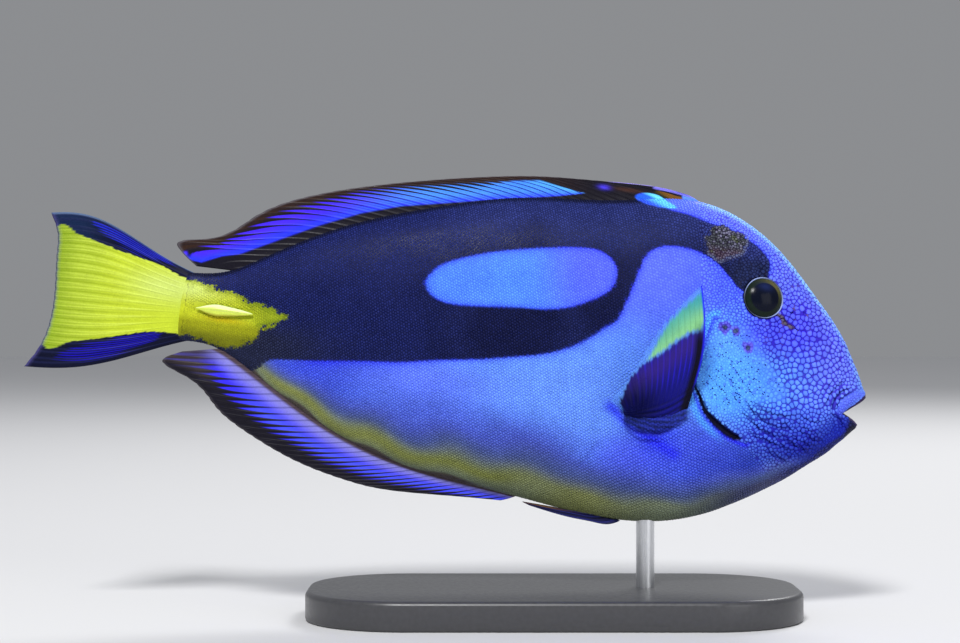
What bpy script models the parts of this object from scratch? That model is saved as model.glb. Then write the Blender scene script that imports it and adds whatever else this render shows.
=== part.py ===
"""Regal blue tang (Paracanthurus hepatus), a life-size still model on a plain display stand.

The fish is modelled in millimetres along its own long axis: +x to the snout, +z to the back,
y = 0 on its middle plane, with the axis running from the tail root to the mouth. An empty then
tips it nose down and sets it over the stand. Stated lengths are millimetres and angles degrees.
"""

import math

import bmesh
import bpy
import numpy as np
from mathutils import Matrix, Vector

MM = 0.001
GAP = 0.3  # between pieces that touch

# Attitude and height
NOSE_DOWN = 8.5
AXIS_HEIGHT = 65.0  # of the fish's own origin above the table

# Body outline: (x, z) along the back and the belly
BACK_LINE = [
    (-64.0, 8.2), (-56.0, 9.5), (-48.0, 13.9), (-30.0, 24.2), (-10.0, 31.8), (12.0, 37.7),
    (35.0, 40.5), (54.5, 42.9), (64.3, 40.4), (75.0, 34.0), (86.3, 23.1), (95.2, 12.3), (99.6, 4.4),
]
BELLY_LINE = [
    (-64.0, -8.6), (-57.0, -8.7), (-48.0, -12.5), (-30.0, -22.4), (-10.0, -29.6), (20.0, -33.6),
    (48.0, -35.5), (65.4, -31.5), (83.2, -20.6), (92.0, -13.4), (98.7, -6.1),
]
# Half the thickness, (x, y), and the height at which the flank is widest, (x, z)
FLANK_WIDTH = [
    (-64.0, 2.2), (-54.0, 3.2), (-44.0, 4.9), (-28.0, 7.8), (-8.0, 10.6), (16.0, 12.5),
    (40.0, 13.3), (58.0, 12.7), (72.0, 10.9), (84.0, 8.1), (91.0, 5.7), (94.8, 3.6),
]
FLANK_LEVEL = [(-64.0, -0.2), (-30.0, 1.5), (10.0, 3.5), (50.0, 3.0), (75.0, 0.0), (94.8, -2.4)]
# Roundness of the section: 2 is an ellipse, less is a sharper ridge
BACK_ROUNDNESS = [(-64.0, 2.0), (0.0, 1.85), (45.0, 1.9), (75.0, 2.15), (100.0, 2.2)]
BELLY_ROUNDNESS = [(-64.0, 2.0), (0.0, 1.9), (45.0, 2.0), (75.0, 2.0), (100.0, 2.1)]

# Snout: past this station the three rails draw apart, back to the corner of the mouth
SNOUT_START = 84.0
SNOUT_END = 100.0
UPPER_LIP_X = 99.6
LOWER_LIP_X = 98.7
MOUTH_CORNER_X = 94.6
# Rings of the lips and the mouth's inside: top (x, z), corner (x, y, z), bottom (x, z)
MOUTH_RINGS = [
    ((100.4, 3.4), (94.9, 3.3, -2.4), (99.4, -5.3)),
    ((100.2, 2.0), (94.8, 2.9, -2.4), (99.2, -4.4)),
    ((98.3, 0.1), (94.2, 2.1, -2.3), (97.9, -3.3)),
    ((96.4, -1.3), (93.6, 1.2, -2.2), (96.2, -2.5)),
]
MOUTH_BACK = (95.0, 0.0, -2.0)

# The groove that sets off the lips: station, half its length and depth
LIP_GROOVE = (95.7, 1.2, 0.38)

STATIONS_BEHIND_HEAD = 22
STATIONS_OF_HEAD = 11
HEAD_START = 56.0
LIP_STATIONS = (94.6, 95.7, 96.9, 98.5, SNOUT_END)
AROUND = 32

# Cuts that part the body
TAIL_STOCK_CUT_X = -44.5
GILL_CUT = [
    (51.0, 48.0), (54.0, 40.0), (56.6, 30.0), (58.0, 20.0), (58.3, 10.0), (58.1, 0.3), (59.9, -2.8),
    (61.8, -6.0), (64.2, -8.3), (68.2, -10.8), (72.4, -12.8), (78.8, -19.0), (83.6, -27.0),
]

# Eye: centre on the flank, radius across, half thickness and how deep its middle lies
EYE_AT = (71.6, 22.0)
EYE_RADIUS = 5.2
EYE_HALF_DEPTH = 3.0
EYE_SINK = 1.25
NOSTRILS_AT = [(78.9, 19.7), (82.0, 20.1)]
NOSTRIL_RADIUS = 0.55

# Dorsal fin: root along the back, tips of the rays by their share of the root, front to rear
DORSAL_ROOT_X = (55.5, -53.0)
DORSAL_TIPS = [
    (0.00, 51.4, 44.0), (0.045, 45.5, 44.8), (0.14, 31.0, 44.4), (0.285, 14.0, 43.1), (0.43, -4.0, 39.9),
    (0.57, -21.0, 35.9), (0.715, -38.0, 30.6), (0.83, -51.0, 23.5), (0.915, -61.5, 16.6), (0.967, -68.3, 14.0),
    (1.00, -63.0, 9.7),
]
DORSAL_SPINES = 9
DORSAL_SOFT_RAYS = 20
# Anal fin, the same
ANAL_ROOT_X = (22.0, -53.6)
ANAL_TIPS = [
    (0.00, 17.5, -35.1), (0.06, 8.5, -35.6), (0.136, -5.0, -36.5), (0.28, -20.0, -35.8), (0.424, -32.0, -33.2),
    (0.568, -43.2, -28.9), (0.712, -53.0, -23.4), (0.856, -61.3, -17.0), (0.947, -67.7, -13.6), (1.00, -63.3, -11.0),
]
ANAL_SPINES = 3
ANAL_SOFT_RAYS = 19
# Tail fin: the ends of its rays by their share from the upper lobe to the lower
TAIL_ROOT_X = -64.0
TAIL_TIPS = [
    (0.00, -99.4, 17.3), (0.06, -97.9, 14.6), (0.25, -96.6, 8.0), (0.50, -95.8, -1.0),
    (0.75, -96.1, -10.0), (0.94, -98.7, -17.4), (1.00, -100.4, -20.2),
]
TAIL_RAYS = 16
TAIL_BOW = [(0.0, 3.3, 1.6), (0.5, 0.2, 1.4), (1.0, -2.4, 1.2)]  # share, rise, how far back it peaks
TAIL_ROOT_FADE = 0.38  # share of the fin over which the fleshy root thins out
# Pectoral fin: root on the flank and ray ends, (share, x, z) and how far they stand off the flank
PECTORAL_ROOT = [(0.0, 57.0, -5.6), (0.5, 50.6, -10.2), (1.0, 43.2, -9.5)]
PECTORAL_TIPS = [
    (0.00, 55.4, 22.4), (0.20, 53.1, 19.8), (0.40, 49.8, 15.2), (0.56, 47.0, 10.8),
    (0.70, 44.9, 5.8), (0.84, 42.4, -0.7), (1.00, 38.7, -7.0),
]
PECTORAL_STAND_OFF = [(0.0, 13.5), (0.5, 11.5), (1.0, 7.0)]
PECTORAL_RAYS = 15
PECTORAL_BOW_AHEAD = 2.2
PECTORAL_BOW_OUT = 1.7
PECTORAL_ROOT_EXTRA = 0.6
# Pelvic fin: folded back along the belly, one spine and three rays
PELVIC_ROOT_X = (46.5, 39.5)
PELVIC_TIPS = [(0.0, 24.5, -35.2), (1.0, 22.6, -34.6)]
PELVIC_SIDE = 1.35
PELVIC_BOW = 1.55
PELVIC_RAYS = 4
# Thickness of the fins, all halves
FIN_ROOT_HALF = 0.85
MEMBRANE_HALF = 0.27
RAY_RISE = 0.24
SPINE_RISE = 0.42
FIN_EDGE_HALF = 0.25

# Blade on the tail stock, folded forward in its groove
BLADE_X = (-61.4, -47.4)
BLADE_LEVEL = (-0.2, 0.3)
BLADE_HALF_HEIGHT = 1.5
BLADE_HALF_THICK = 0.75
BLADE_RINGS = 8
BLADE_SIDES = 10

# Stand
ROD_X = 52.6
ROD_RADIUS = 2.2
ROD_SIDES = 24
BASE_LENGTH = 118.0
BASE_WIDTH = 60.0
BASE_THICKNESS = 7.0
BASE_CENTRE_X = 26.0
BASE_CORNER = 24.0
BASE_EDGE = 1.2

COLOURS = {  # colour, metallic, roughness
    "blue_skin": ((0.06, 0.11, 0.80), 0.0, 0.45),
    "black_skin": ((0.008, 0.010, 0.035), 0.0, 0.45),
    "yellow_skin": ((0.80, 0.78, 0.04), 0.0, 0.45),
    "fin": ((0.03, 0.03, 0.55), 0.0, 0.40),
    "eye": ((0.004, 0.005, 0.012), 0.0, 0.06),
    "blade": ((0.88, 0.90, 0.30), 0.0, 0.30),
    "stand_base": ((0.035, 0.035, 0.04), 0.0, 0.45),
    "stand_rod": ((0.62, 0.63, 0.65), 1.0, 0.28),
}


def clear_scene():
    for thing in list(bpy.data.objects):
        bpy.data.objects.remove(thing)


def smooth_line(knots):
    """Natural cubic through the knots (x, value, ...), as a function of x. It runs on straight past its ends."""
    table = np.array(sorted(knots), float)
    x, y = table[:, 0], table[:, 1:]
    step = np.diff(x)
    slope = np.diff(y, axis=0) / step[:, None]
    system = np.eye(len(x))
    right = np.zeros_like(y)
    for i in range(1, len(x) - 1):
        system[i, i - 1:i + 2] = step[i - 1], 2 * (step[i - 1] + step[i]), step[i]
        right[i] = 6 * (slope[i] - slope[i - 1])
    bend = np.linalg.solve(system, right)

    def value(at):
        at = float(at)
        i = int(np.clip(np.searchsorted(x, at) - 1, 0, len(step) - 1))
        inside = min(max(at, x[0]), x[-1])
        a = (x[i + 1] - inside) / step[i]
        b = 1 - a
        found = a * y[i] + b * y[i + 1]
        found = found + ((a**3 - a) * bend[i] + (b**3 - b) * bend[i + 1]) * step[i] ** 2 / 6
        run = slope[i] + ((3 * b * b - 1) * bend[i + 1] - (3 * a * a - 1) * bend[i]) * step[i] / 6
        found = found + run * (at - inside)
        return float(found[0]) if len(found) == 1 else found

    return value


back_line = smooth_line(BACK_LINE)
belly_line = smooth_line(BELLY_LINE)
flank_width = smooth_line(FLANK_WIDTH)
flank_level = smooth_line(FLANK_LEVEL)
back_roundness = smooth_line(BACK_ROUNDNESS)
belly_roundness = smooth_line(BELLY_ROUNDNESS)


def ring(top, side, bottom, upper_power, lower_power):
    """Points round one section, given its highest, widest and lowest place. The ends are small flats."""
    half_step = math.pi / AROUND
    points = []
    for k in range(AROUND):
        angle = 2 * half_step * (k + 0.5)
        up = math.cos(angle) > 0
        rail, power = (top, upper_power) if up else (bottom, lower_power)
        reach = abs(math.cos(angle)) ** (2 / power) / math.cos(half_step) ** (2 / power)
        out = abs(math.sin(angle)) ** (2 / power)
        points.append((
            side[0] + (rail[0] - side[0]) * reach,
            -math.copysign(side[1] * out, math.sin(angle)),
            side[2] + (rail[1] - side[2]) * reach,
        ))
    return points


def body_ring(station):
    """The section at a station. In the snout its top, side and bottom lie at their own x."""
    part = max(0.0, (station - SNOUT_START) / (SNOUT_END - SNOUT_START))
    top_x, side_x, bottom_x = (
        station - (SNOUT_END - end) * part**2 for end in (UPPER_LIP_X, MOUTH_CORNER_X, LOWER_LIP_X)
    )
    at, half_length, depth = LIP_GROOVE
    pinch = depth * math.exp(-((station - at) / half_length) ** 2)
    return ring(
        (top_x, back_line(top_x) - pinch / 2),
        (side_x, flank_width(side_x) - pinch, flank_level(side_x)),
        (bottom_x, belly_line(bottom_x) + pinch / 2),
        back_roundness(station),
        belly_roundness(station),
    )


def flank_y(x, z):
    """Half the body's thickness at x and height z, behind the snout."""
    level = flank_level(x)
    if z >= level:
        share, power = (z - level) / (back_line(x) - level), back_roundness(x)
    else:
        share, power = (level - z) / (level - belly_line(x)), belly_roundness(x)
    return flank_width(x) * (1 - min(share, 1.0) ** power) ** (1 / power)


def flank_frame(x, z, side):
    """A place on the flank and its outward normal. side is -1 for the right flank, +1 for the left."""
    reach = 0.4
    along = (flank_y(x + reach, z) - flank_y(x - reach, z)) / (2 * reach)
    upward = (flank_y(x, z + reach) - flank_y(x, z - reach)) / (2 * reach)
    place = Vector((x, side * flank_y(x, z), z))
    return place, Vector((-along, side, -upward)).normalized()


def belly_z(x, y):
    """Height of the underside at x, y off the middle plane."""
    level, power = flank_level(x), belly_roundness(x)
    return level - (level - belly_line(x)) * (1 - (abs(y) / flank_width(x)) ** power) ** (1 / power)


def material(name):
    found = bpy.data.materials.get(name)
    if found:
        return found
    made = bpy.data.materials.new(name)
    made.use_nodes = True
    shader = made.node_tree.nodes["Principled BSDF"]
    colour, metallic, roughness = COLOURS[name]
    shader.inputs["Base Color"].default_value = (*colour, 1)
    shader.inputs["Metallic"].default_value = metallic
    shader.inputs["Roughness"].default_value = roughness
    made.diffuse_color = (*colour, 1)
    return made


def finish(obj, name, collection, look):
    """Names an object, puts it in its collection and gives it its material, shaded smooth."""
    obj.name = obj.data.name = name
    for holder in list(obj.users_collection):
        holder.objects.unlink(obj)
    collection.objects.link(obj)
    obj.data.materials.clear()
    obj.data.materials.append(material(look))
    obj.data.shade_smooth()
    obj.data.set_sharp_from_angle(angle=math.radians(40))
    return obj


def mesh_object(points, faces):
    """A closed mesh from points in millimetres, with its faces turned outwards."""
    made = bpy.data.meshes.new("mesh")
    made.from_pydata([Vector(p) * MM for p in points], [], faces)
    work = bmesh.new()
    work.from_mesh(made)
    bmesh.ops.recalc_face_normals(work, faces=work.faces)
    if work.calc_volume(signed=True) < 0:
        bmesh.ops.reverse_faces(work, faces=work.faces)
    work.to_mesh(made)
    work.free()
    obj = bpy.data.objects.new("piece", made)
    bpy.context.scene.collection.objects.link(obj)
    return obj


def loft(rings, first_middle, last_middle):
    """A closed skin over like rings, with a fan of triangles to a middle point at each end."""
    around = len(rings[0])
    points = [p for loop in rings for p in loop] + [first_middle, last_middle]
    faces = []
    for i in range(len(rings) - 1):
        for k in range(around):
            n = (k + 1) % around
            faces.append((i * around + k, i * around + n, (i + 1) * around + n, (i + 1) * around + k))
    last = (len(rings) - 1) * around
    for k in range(around):
        n = (k + 1) % around
        faces.append((n, k, len(points) - 2))
        faces.append((last + k, last + n, len(points) - 1))
    return mesh_object(points, faces)


def vane(places, halves):
    """A fin: places[i][j] is the middle of column i, row j, and halves[i][j] the half-thickness vector there.
    Both faces are split along the same diagonals, so that thin places can't cross."""
    columns, rows = len(places), len(places[0])
    points = []
    for sign in (1, -1):
        for i in range(columns):
            points += [Vector(places[i][j]) + sign * Vector(halves[i][j]) for j in range(rows)]

    def at(face, i, j):
        return (face * columns + i) * rows + j

    faces = []
    for i in range(columns - 1):
        for j in range(rows - 1):
            for face in (0, 1):
                a, b = at(face, i, j), at(face, i + 1, j)
                c, d = at(face, i + 1, j + 1), at(face, i, j + 1)
                faces += [(a, b, c), (a, c, d)] if face == 0 else [(a, c, b), (a, d, c)]
        for j in (0, rows - 1):
            faces.append((at(0, i, j), at(0, i + 1, j), at(1, i + 1, j), at(1, i, j)))
    for i in (0, columns - 1):
        for j in range(rows - 1):
            faces.append((at(0, i, j), at(0, i, j + 1), at(1, i, j + 1), at(1, i, j)))
    return mesh_object(points, faces)


def sheet_normal(places, i, j):
    """Normal of a grid of places at column i, row j."""
    before, after = places[max(i - 1, 0)][j], places[min(i + 1, len(places) - 1)][j]
    below, above = places[i][max(j - 1, 0)], places[i][min(j + 1, len(places[i]) - 1)]
    return (after - before).cross(above - below).normalized()


def ray_columns(rays, spines=0):
    """(share, rise) of each column: for every ray its near foot, crest and far foot, then plain membrane."""
    foot, crest = 0.16, 0.34
    columns = []
    for n in range(rays):
        rise = SPINE_RISE if n < spines else RAY_RISE
        columns += [((n + foot) / rays, 0.0), ((n + crest) / rays, rise), ((n + 2 * crest - foot) / rays, 0.0)]
    return [(0.0, 0.0)] + columns + [(1.0, 0.0)]


def cut(target, cutter):
    """Takes cutter's space out of target, and removes the cutter."""
    modifier = target.modifiers.new("cut", "BOOLEAN")
    modifier.operation = "DIFFERENCE"
    modifier.solver = "EXACT"
    modifier.object = cutter
    graph = bpy.context.evaluated_depsgraph_get()
    done = bpy.data.meshes.new_from_object(target.evaluated_get(graph))
    target.modifiers.clear()
    target.data = done
    bpy.data.objects.remove(cutter)


def loose_pieces(obj):
    """Splits obj into one object for each closed piece, sorted along x, and drops scraps."""
    bpy.ops.object.select_all(action="DESELECT")
    obj.select_set(True)
    bpy.context.view_layer.objects.active = obj
    bpy.ops.object.mode_set(mode="EDIT")
    bpy.ops.mesh.select_all(action="SELECT")
    bpy.ops.mesh.separate(type="LOOSE")
    bpy.ops.object.mode_set(mode="OBJECT")
    pieces = sorted(bpy.context.selected_objects, key=lambda o: len(o.data.polygons))
    fewest_faces = 60
    for scrap in [o for o in pieces if len(o.data.polygons) < fewest_faces]:
        pieces.remove(scrap)
        bpy.data.objects.remove(scrap)
    return sorted(pieces, key=lambda o: np.mean([v.co.x for v in o.data.vertices]))


def slab(path):
    """A thin plate that follows a path (x, z) and runs right across the fish."""
    reach = 40.0
    middle = [Vector((x, 0, z)) for x, z in path]
    rings = []
    for i, point in enumerate(middle):
        run = (middle[min(i + 1, len(middle) - 1)] - middle[max(i - 1, 0)]).normalized()
        off = Vector((run.z, 0, -run.x)) * (GAP / 2)
        across = Vector((0, reach, 0))
        rings.append([point + off + across, point - off + across, point - off - across, point + off - across])
    return loft(rings, middle[0], middle[-1])


def make_body():
    """The whole body in one skin, from the tail root to the mouth's inside."""
    behind = np.linspace(TAIL_ROOT_X + GAP, HEAD_START, STATIONS_BEHIND_HEAD, endpoint=False)
    share = np.linspace(0, 1, STATIONS_OF_HEAD, endpoint=False)
    head = HEAD_START + (LIP_STATIONS[0] - HEAD_START) * (1 - (1 - share) ** 1.2)
    rings = [body_ring(x) for x in [*behind, *head, *LIP_STATIONS]]
    rings += [ring(top, side, bottom, 2.2, 2.2) for top, side, bottom in MOUTH_RINGS]
    return loft(rings, (behind[0], 0, flank_level(behind[0])), MOUTH_BACK)


def ellipsoid(place, normal, radius, depth, segments, rings):
    """A ball flattened along its normal, placed in millimetres."""
    bpy.ops.mesh.primitive_uv_sphere_add(segments=segments, ring_count=rings, radius=1)
    ball = bpy.context.object
    turn = Vector((0, 0, 1)).rotation_difference(normal).to_matrix().to_4x4()
    size = Matrix.Diagonal((radius * MM, radius * MM, depth * MM, 1))
    ball.data.transform(Matrix.Translation(place * MM) @ turn @ size)
    return ball


def make_eye(side, margin=0.0):
    place, normal = flank_frame(*EYE_AT, side)
    return ellipsoid(place - normal * EYE_SINK, normal, EYE_RADIUS + margin, EYE_HALF_DEPTH + margin, 24, 12)


def make_blade(side, margin=0.0):
    """The tail stock's blade: blunt at its hinge at the rear, pointed in front, half sunk in the flank."""
    rear, front = BLADE_X
    rings = []
    for i in range(BLADE_RINGS):
        share = (i + 0.35) / (BLADE_RINGS - 0.3)
        x = rear + (front - rear) * share
        level = BLADE_LEVEL[0] + (BLADE_LEVEL[1] - BLADE_LEVEL[0]) * share
        fullness = min(1.0, share * 4.5) ** 0.5 * (1 - share) ** 0.55
        high = BLADE_HALF_HEIGHT * fullness + margin
        thick = BLADE_HALF_THICK * fullness**0.6 + margin
        centre = side * flank_y(x, level)
        rings.append([
            (x, centre + thick * math.sin(a), level + high * math.cos(a))
            for a in np.linspace(0, 2 * math.pi, BLADE_SIDES, endpoint=False)
        ])
    first = (rear - margin, side * flank_y(rear, BLADE_LEVEL[0]), BLADE_LEVEL[0])
    last = (front + 2 * margin, side * flank_y(front, BLADE_LEVEL[1]), BLADE_LEVEL[1])
    return loft(rings, first, last)


def median_fin(root_x, root_line, root_side, tips, rays, spines, bow):
    """A fin in the middle plane, from a root line on the body to the line of its ray tips."""
    rows = 5
    tip_at = smooth_line(tips)
    places, halves = [], []
    for share, rise in ray_columns(rays + spines, spines):
        x = root_x[0] + (root_x[1] - root_x[0]) * share
        root = Vector((x, 0, root_line(x) + root_side * GAP))
        tip_x, tip_z = tip_at(share)
        tip = Vector((tip_x, 0, tip_z))
        root_half = FIN_ROOT_HALF * (1 - 0.45 * share)
        column, thick = [], []
        for j in range(rows):
            along = j / (rows - 1)
            lift = root_side * bow * math.sin(math.pi * along) * min(1.0, 6 * (1 - share), 0.25 + 6 * share)
            column.append(root.lerp(tip, along) + Vector((0, 0, lift)))
            half = FIN_EDGE_HALF + (MEMBRANE_HALF - FIN_EDGE_HALF) * (1 - along)
            half += (root_half - MEMBRANE_HALF) * (1 - along) ** 4
            half += rise * math.sin(math.pi * min(1.0, 0.12 + 0.88 * along)) ** 0.6 * (1 - 0.5 * along)
            thick.append(Vector((0, half, 0)))
        places.append(column)
        halves.append(thick)
    return vane(places, halves)


def make_tail_fin():
    """The tail fin, whose thick root takes over the section of the tail stock."""
    rows = 7
    tip_at, bow_at = smooth_line(TAIL_TIPS), smooth_line(TAIL_BOW)
    x = TAIL_ROOT_X
    top, bottom, thick_root = back_line(x), belly_line(x), flank_width(x)
    places, halves = [], []
    for share, rise in ray_columns(TAIL_RAYS):
        root = Vector((x, 0, top + (bottom - top) * share))
        tip_x, tip_z = tip_at(share)
        tip = Vector((tip_x, 0, tip_z))
        round_root = thick_root * max(0.0, 1 - abs(2 * share - 1) ** 2) ** 0.5
        column, thick = [], []
        for j in range(rows):
            along = (j / (rows - 1)) ** 1.15
            bow, peak = bow_at(share)
            lift = bow * math.sin(math.pi * along ** peak)
            column.append(root.lerp(tip, along) + Vector((0, 0, lift)))
            fade = max(0.0, 1 - along / TAIL_ROOT_FADE) ** 1.6
            half = max(MEMBRANE_HALF + (FIN_EDGE_HALF - MEMBRANE_HALF) * along, 0.3 * (1 - along))
            half += max(0.0, round_root - MEMBRANE_HALF) * fade
            half += rise * (1 - fade) * (1 - 0.6 * along)
            thick.append(Vector((0, half, 0)))
        places.append(column)
        halves.append(thick)
    return vane(places, halves)


def make_pectoral_fin(side):
    """A pectoral fin, raised and held off the flank. Its root face lies along the skin."""
    rows = 6
    root_at, tip_at = smooth_line(PECTORAL_ROOT), smooth_line(PECTORAL_TIPS)
    stand_off = smooth_line(PECTORAL_STAND_OFF)
    columns = ray_columns(PECTORAL_RAYS)
    places, skin_normals = [], []
    for share, _ in columns:
        place, normal = flank_frame(*root_at(share), side)
        root = place + normal * (GAP + 0.05)
        tip_x, tip_z = tip_at(share)
        tip = Vector((tip_x, side * (flank_y(tip_x, tip_z) + stand_off(share)), tip_z))
        bow = Vector((PECTORAL_BOW_AHEAD * (1 - share), side * PECTORAL_BOW_OUT, 0))
        alongs = np.linspace(0, 1, rows)
        places.append([root.lerp(tip, a) + bow * math.sin(math.pi * a) for a in alongs])
        skin_normals.append(normal)
    halves = []
    for i, (_, rise) in enumerate(columns):
        thick = []
        for j in range(rows):
            along = j / (rows - 1)
            direction = sheet_normal(places, i, j)
            if j == 0:
                direction -= skin_normals[i] * direction.dot(skin_normals[i])
            half = MEMBRANE_HALF + (FIN_EDGE_HALF - MEMBRANE_HALF) * along
            half += PECTORAL_ROOT_EXTRA * (1 - along) ** 5 + rise * (1 - 0.7 * along) * min(1.0, 3 * along)
            thick.append(direction.normalized() * half)
        halves.append(thick)
    return vane(places, halves)


def make_pelvic_fin(side):
    """A pelvic fin folded back under the belly, beside the middle plane."""
    rows = 6
    tip_at = smooth_line(PELVIC_TIPS)
    places, halves = [], []
    for share, rise in ray_columns(PELVIC_RAYS, 1):
        x = PELVIC_ROOT_X[0] + (PELVIC_ROOT_X[1] - PELVIC_ROOT_X[0]) * share
        y = side * PELVIC_SIDE
        root = Vector((x, y, belly_z(x, 0) - GAP - 0.02))
        tip_x, tip_z = tip_at(share)
        tip = Vector((tip_x, side * (PELVIC_SIDE - 0.5), tip_z))
        column, thick = [], []
        for j in range(rows):
            along = j / (rows - 1)
            sag = PELVIC_BOW * math.sin(math.pi * along ** 0.75) * (1 - share)
            column.append(root.lerp(tip, along) - Vector((0, 0, sag)))
            half = MEMBRANE_HALF + 0.25 * (1 - along) + 0.8 * rise * (1 - along) * min(1.0, 4 * along)
            thick.append(Vector((0, min(half, 0.75), 0)))
        places.append(column)
        halves.append(thick)
    return vane(places, halves)


def fish_matrix(shift_x):
    """From the fish's own frame to the table's."""
    tip = Matrix.Rotation(math.radians(NOSE_DOWN), 4, "Y")
    return Matrix.Translation(Vector((shift_x, 0, AXIS_HEIGHT)) * MM) @ tip


def rounded_rectangle(length, width, corner, steps):
    """Points of a rectangle with round corners, anticlockwise."""
    points = []
    for cx, cy, start in ((1, 1, 0), (-1, 1, 90), (-1, -1, 180), (1, -1, 270)):
        for n in range(steps + 1):
            angle = math.radians(start + 90 * n / steps)
            points.append((
                cx * (length / 2 - corner) + corner * math.cos(angle),
                cy * (width / 2 - corner) + corner * math.sin(angle),
            ))
    return points


def make_stand(collection, fish):
    """The base on the table and the rod, whose top follows the belly. Both are built upright."""
    layers = [(0.0, 0.6), (0.6, 0.0), (BASE_THICKNESS - BASE_EDGE, 0.0), (BASE_THICKNESS, BASE_EDGE)]
    outlines = [
        [(x + BASE_CENTRE_X, y, z) for x, y in rounded_rectangle(
            BASE_LENGTH - 2 * inset, BASE_WIDTH - 2 * inset, BASE_CORNER - inset, 9)]
        for z, inset in layers
    ]
    base = loft(outlines, (BASE_CENTRE_X, 0, 0), (BASE_CENTRE_X, 0, BASE_THICKNESS))
    finish(base, "stand_base", collection, "stand_base")

    top_on_axis = fish @ (Vector((ROD_X, 0, belly_line(ROD_X))) * MM)
    centre_x = top_on_axis.x / MM
    angles = np.linspace(0, 2 * math.pi, ROD_SIDES, endpoint=False)

    def belly_above(x, y):
        """Height of the belly in the table's frame, by walking up the rod's own line."""
        lean = math.tan(math.radians(NOSE_DOWN))
        along = ROD_X + (x - centre_x) * math.cos(math.radians(NOSE_DOWN))
        for _ in range(6):
            found = fish @ (Vector((along, y, belly_z(along, y))) * MM)
            along += (x - found.x / MM) / (1 + lean * lean)
        return found.z / MM

    foot, head = [], []
    for a in angles:
        x, y = centre_x + ROD_RADIUS * math.cos(a), ROD_RADIUS * math.sin(a)
        foot.append((x, y, BASE_THICKNESS + GAP))
        head.append((x, y, belly_above(x, y) - GAP))
    rod = loft([foot, head], (centre_x, 0, BASE_THICKNESS + GAP), (centre_x, 0, belly_above(centre_x, 0) - GAP))
    finish(rod, "stand_rod", collection, "stand_rod")


def part_body(collection):
    """Cuts the sockets and grooves, then parts the body into head, trunk and tail stock."""
    body = make_body()
    for side in (-1, 1):
        cut(body, make_eye(side, GAP))
        cut(body, make_blade(side, GAP))
        for x, z in NOSTRILS_AT:
            place, normal = flank_frame(x, z, side)
            cut(body, ellipsoid(place, normal, NOSTRIL_RADIUS, NOSTRIL_RADIUS * 1.6, 8, 6))
    cut(body, slab(GILL_CUT))
    cut(body, slab([(TAIL_STOCK_CUT_X, 40.0), (TAIL_STOCK_CUT_X, -40.0)]))
    names = ("tail_stock", "trunk", "head")
    looks = ("yellow_skin", "black_skin", "blue_skin")
    for piece, name, look in zip(loose_pieces(body), names, looks):
        finish(piece, name, collection, look)


def build():
    clear_scene()
    collection = bpy.data.collections.new("regal_blue_tang")
    bpy.context.scene.collection.children.link(collection)

    part_body(collection)
    dorsal = median_fin(DORSAL_ROOT_X, back_line, 1, DORSAL_TIPS, DORSAL_SOFT_RAYS, DORSAL_SPINES, 0.9)
    finish(dorsal, "dorsal_fin", collection, "fin")
    anal = median_fin(ANAL_ROOT_X, belly_line, -1, ANAL_TIPS, ANAL_SOFT_RAYS, ANAL_SPINES, 0.7)
    finish(anal, "anal_fin", collection, "fin")
    finish(make_tail_fin(), "tail_fin", collection, "yellow_skin")
    for side, hand in ((-1, "right"), (1, "left")):
        finish(make_eye(side), f"eye_{hand}", collection, "eye")
        finish(make_pectoral_fin(side), f"pectoral_fin_{hand}", collection, "fin")
        finish(make_pelvic_fin(side), f"pelvic_fin_{hand}", collection, "fin")
        finish(make_blade(side), f"tail_blade_{hand}", collection, "blade")

    tipped = fish_matrix(0)
    reach = [(tipped @ v.co).x for o in collection.objects for v in o.data.vertices]
    fish = fish_matrix(-(min(reach) + max(reach)) / 2 / MM)
    attitude = bpy.data.objects.new("attitude", None)
    collection.objects.link(attitude)
    attitude.matrix_world = fish
    for piece in [o for o in collection.objects if o.type == "MESH"]:
        piece.parent = attitude
    make_stand(collection, fish)


build()
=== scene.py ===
import math

import bmesh
import bpy
import numpy as np
from mathutils import Matrix, Vector, kdtree


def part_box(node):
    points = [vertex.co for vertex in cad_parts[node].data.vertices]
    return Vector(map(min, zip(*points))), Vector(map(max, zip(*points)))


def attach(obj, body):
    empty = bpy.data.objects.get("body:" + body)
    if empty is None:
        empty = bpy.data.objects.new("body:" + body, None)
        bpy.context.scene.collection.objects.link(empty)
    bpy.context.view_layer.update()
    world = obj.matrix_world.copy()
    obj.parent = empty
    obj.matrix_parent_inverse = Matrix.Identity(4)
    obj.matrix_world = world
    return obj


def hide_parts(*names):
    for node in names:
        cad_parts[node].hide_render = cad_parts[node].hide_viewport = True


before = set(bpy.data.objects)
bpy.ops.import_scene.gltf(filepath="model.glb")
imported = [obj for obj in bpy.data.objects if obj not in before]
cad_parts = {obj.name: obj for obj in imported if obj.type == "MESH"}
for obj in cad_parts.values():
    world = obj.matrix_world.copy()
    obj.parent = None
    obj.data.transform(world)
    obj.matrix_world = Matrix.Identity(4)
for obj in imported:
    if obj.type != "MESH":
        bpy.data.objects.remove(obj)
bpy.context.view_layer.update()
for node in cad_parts.values():
    node.select_set(False)

# The fish is measured in millimetres along its own axis: x to the snout, z to the back, y = 0 in its middle
MM = 0.001
NOSE_DOWN = 8.5
FULL_TURN = 2 * math.pi
SIDEWAYS = np.array((0, 1, 0))

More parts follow.
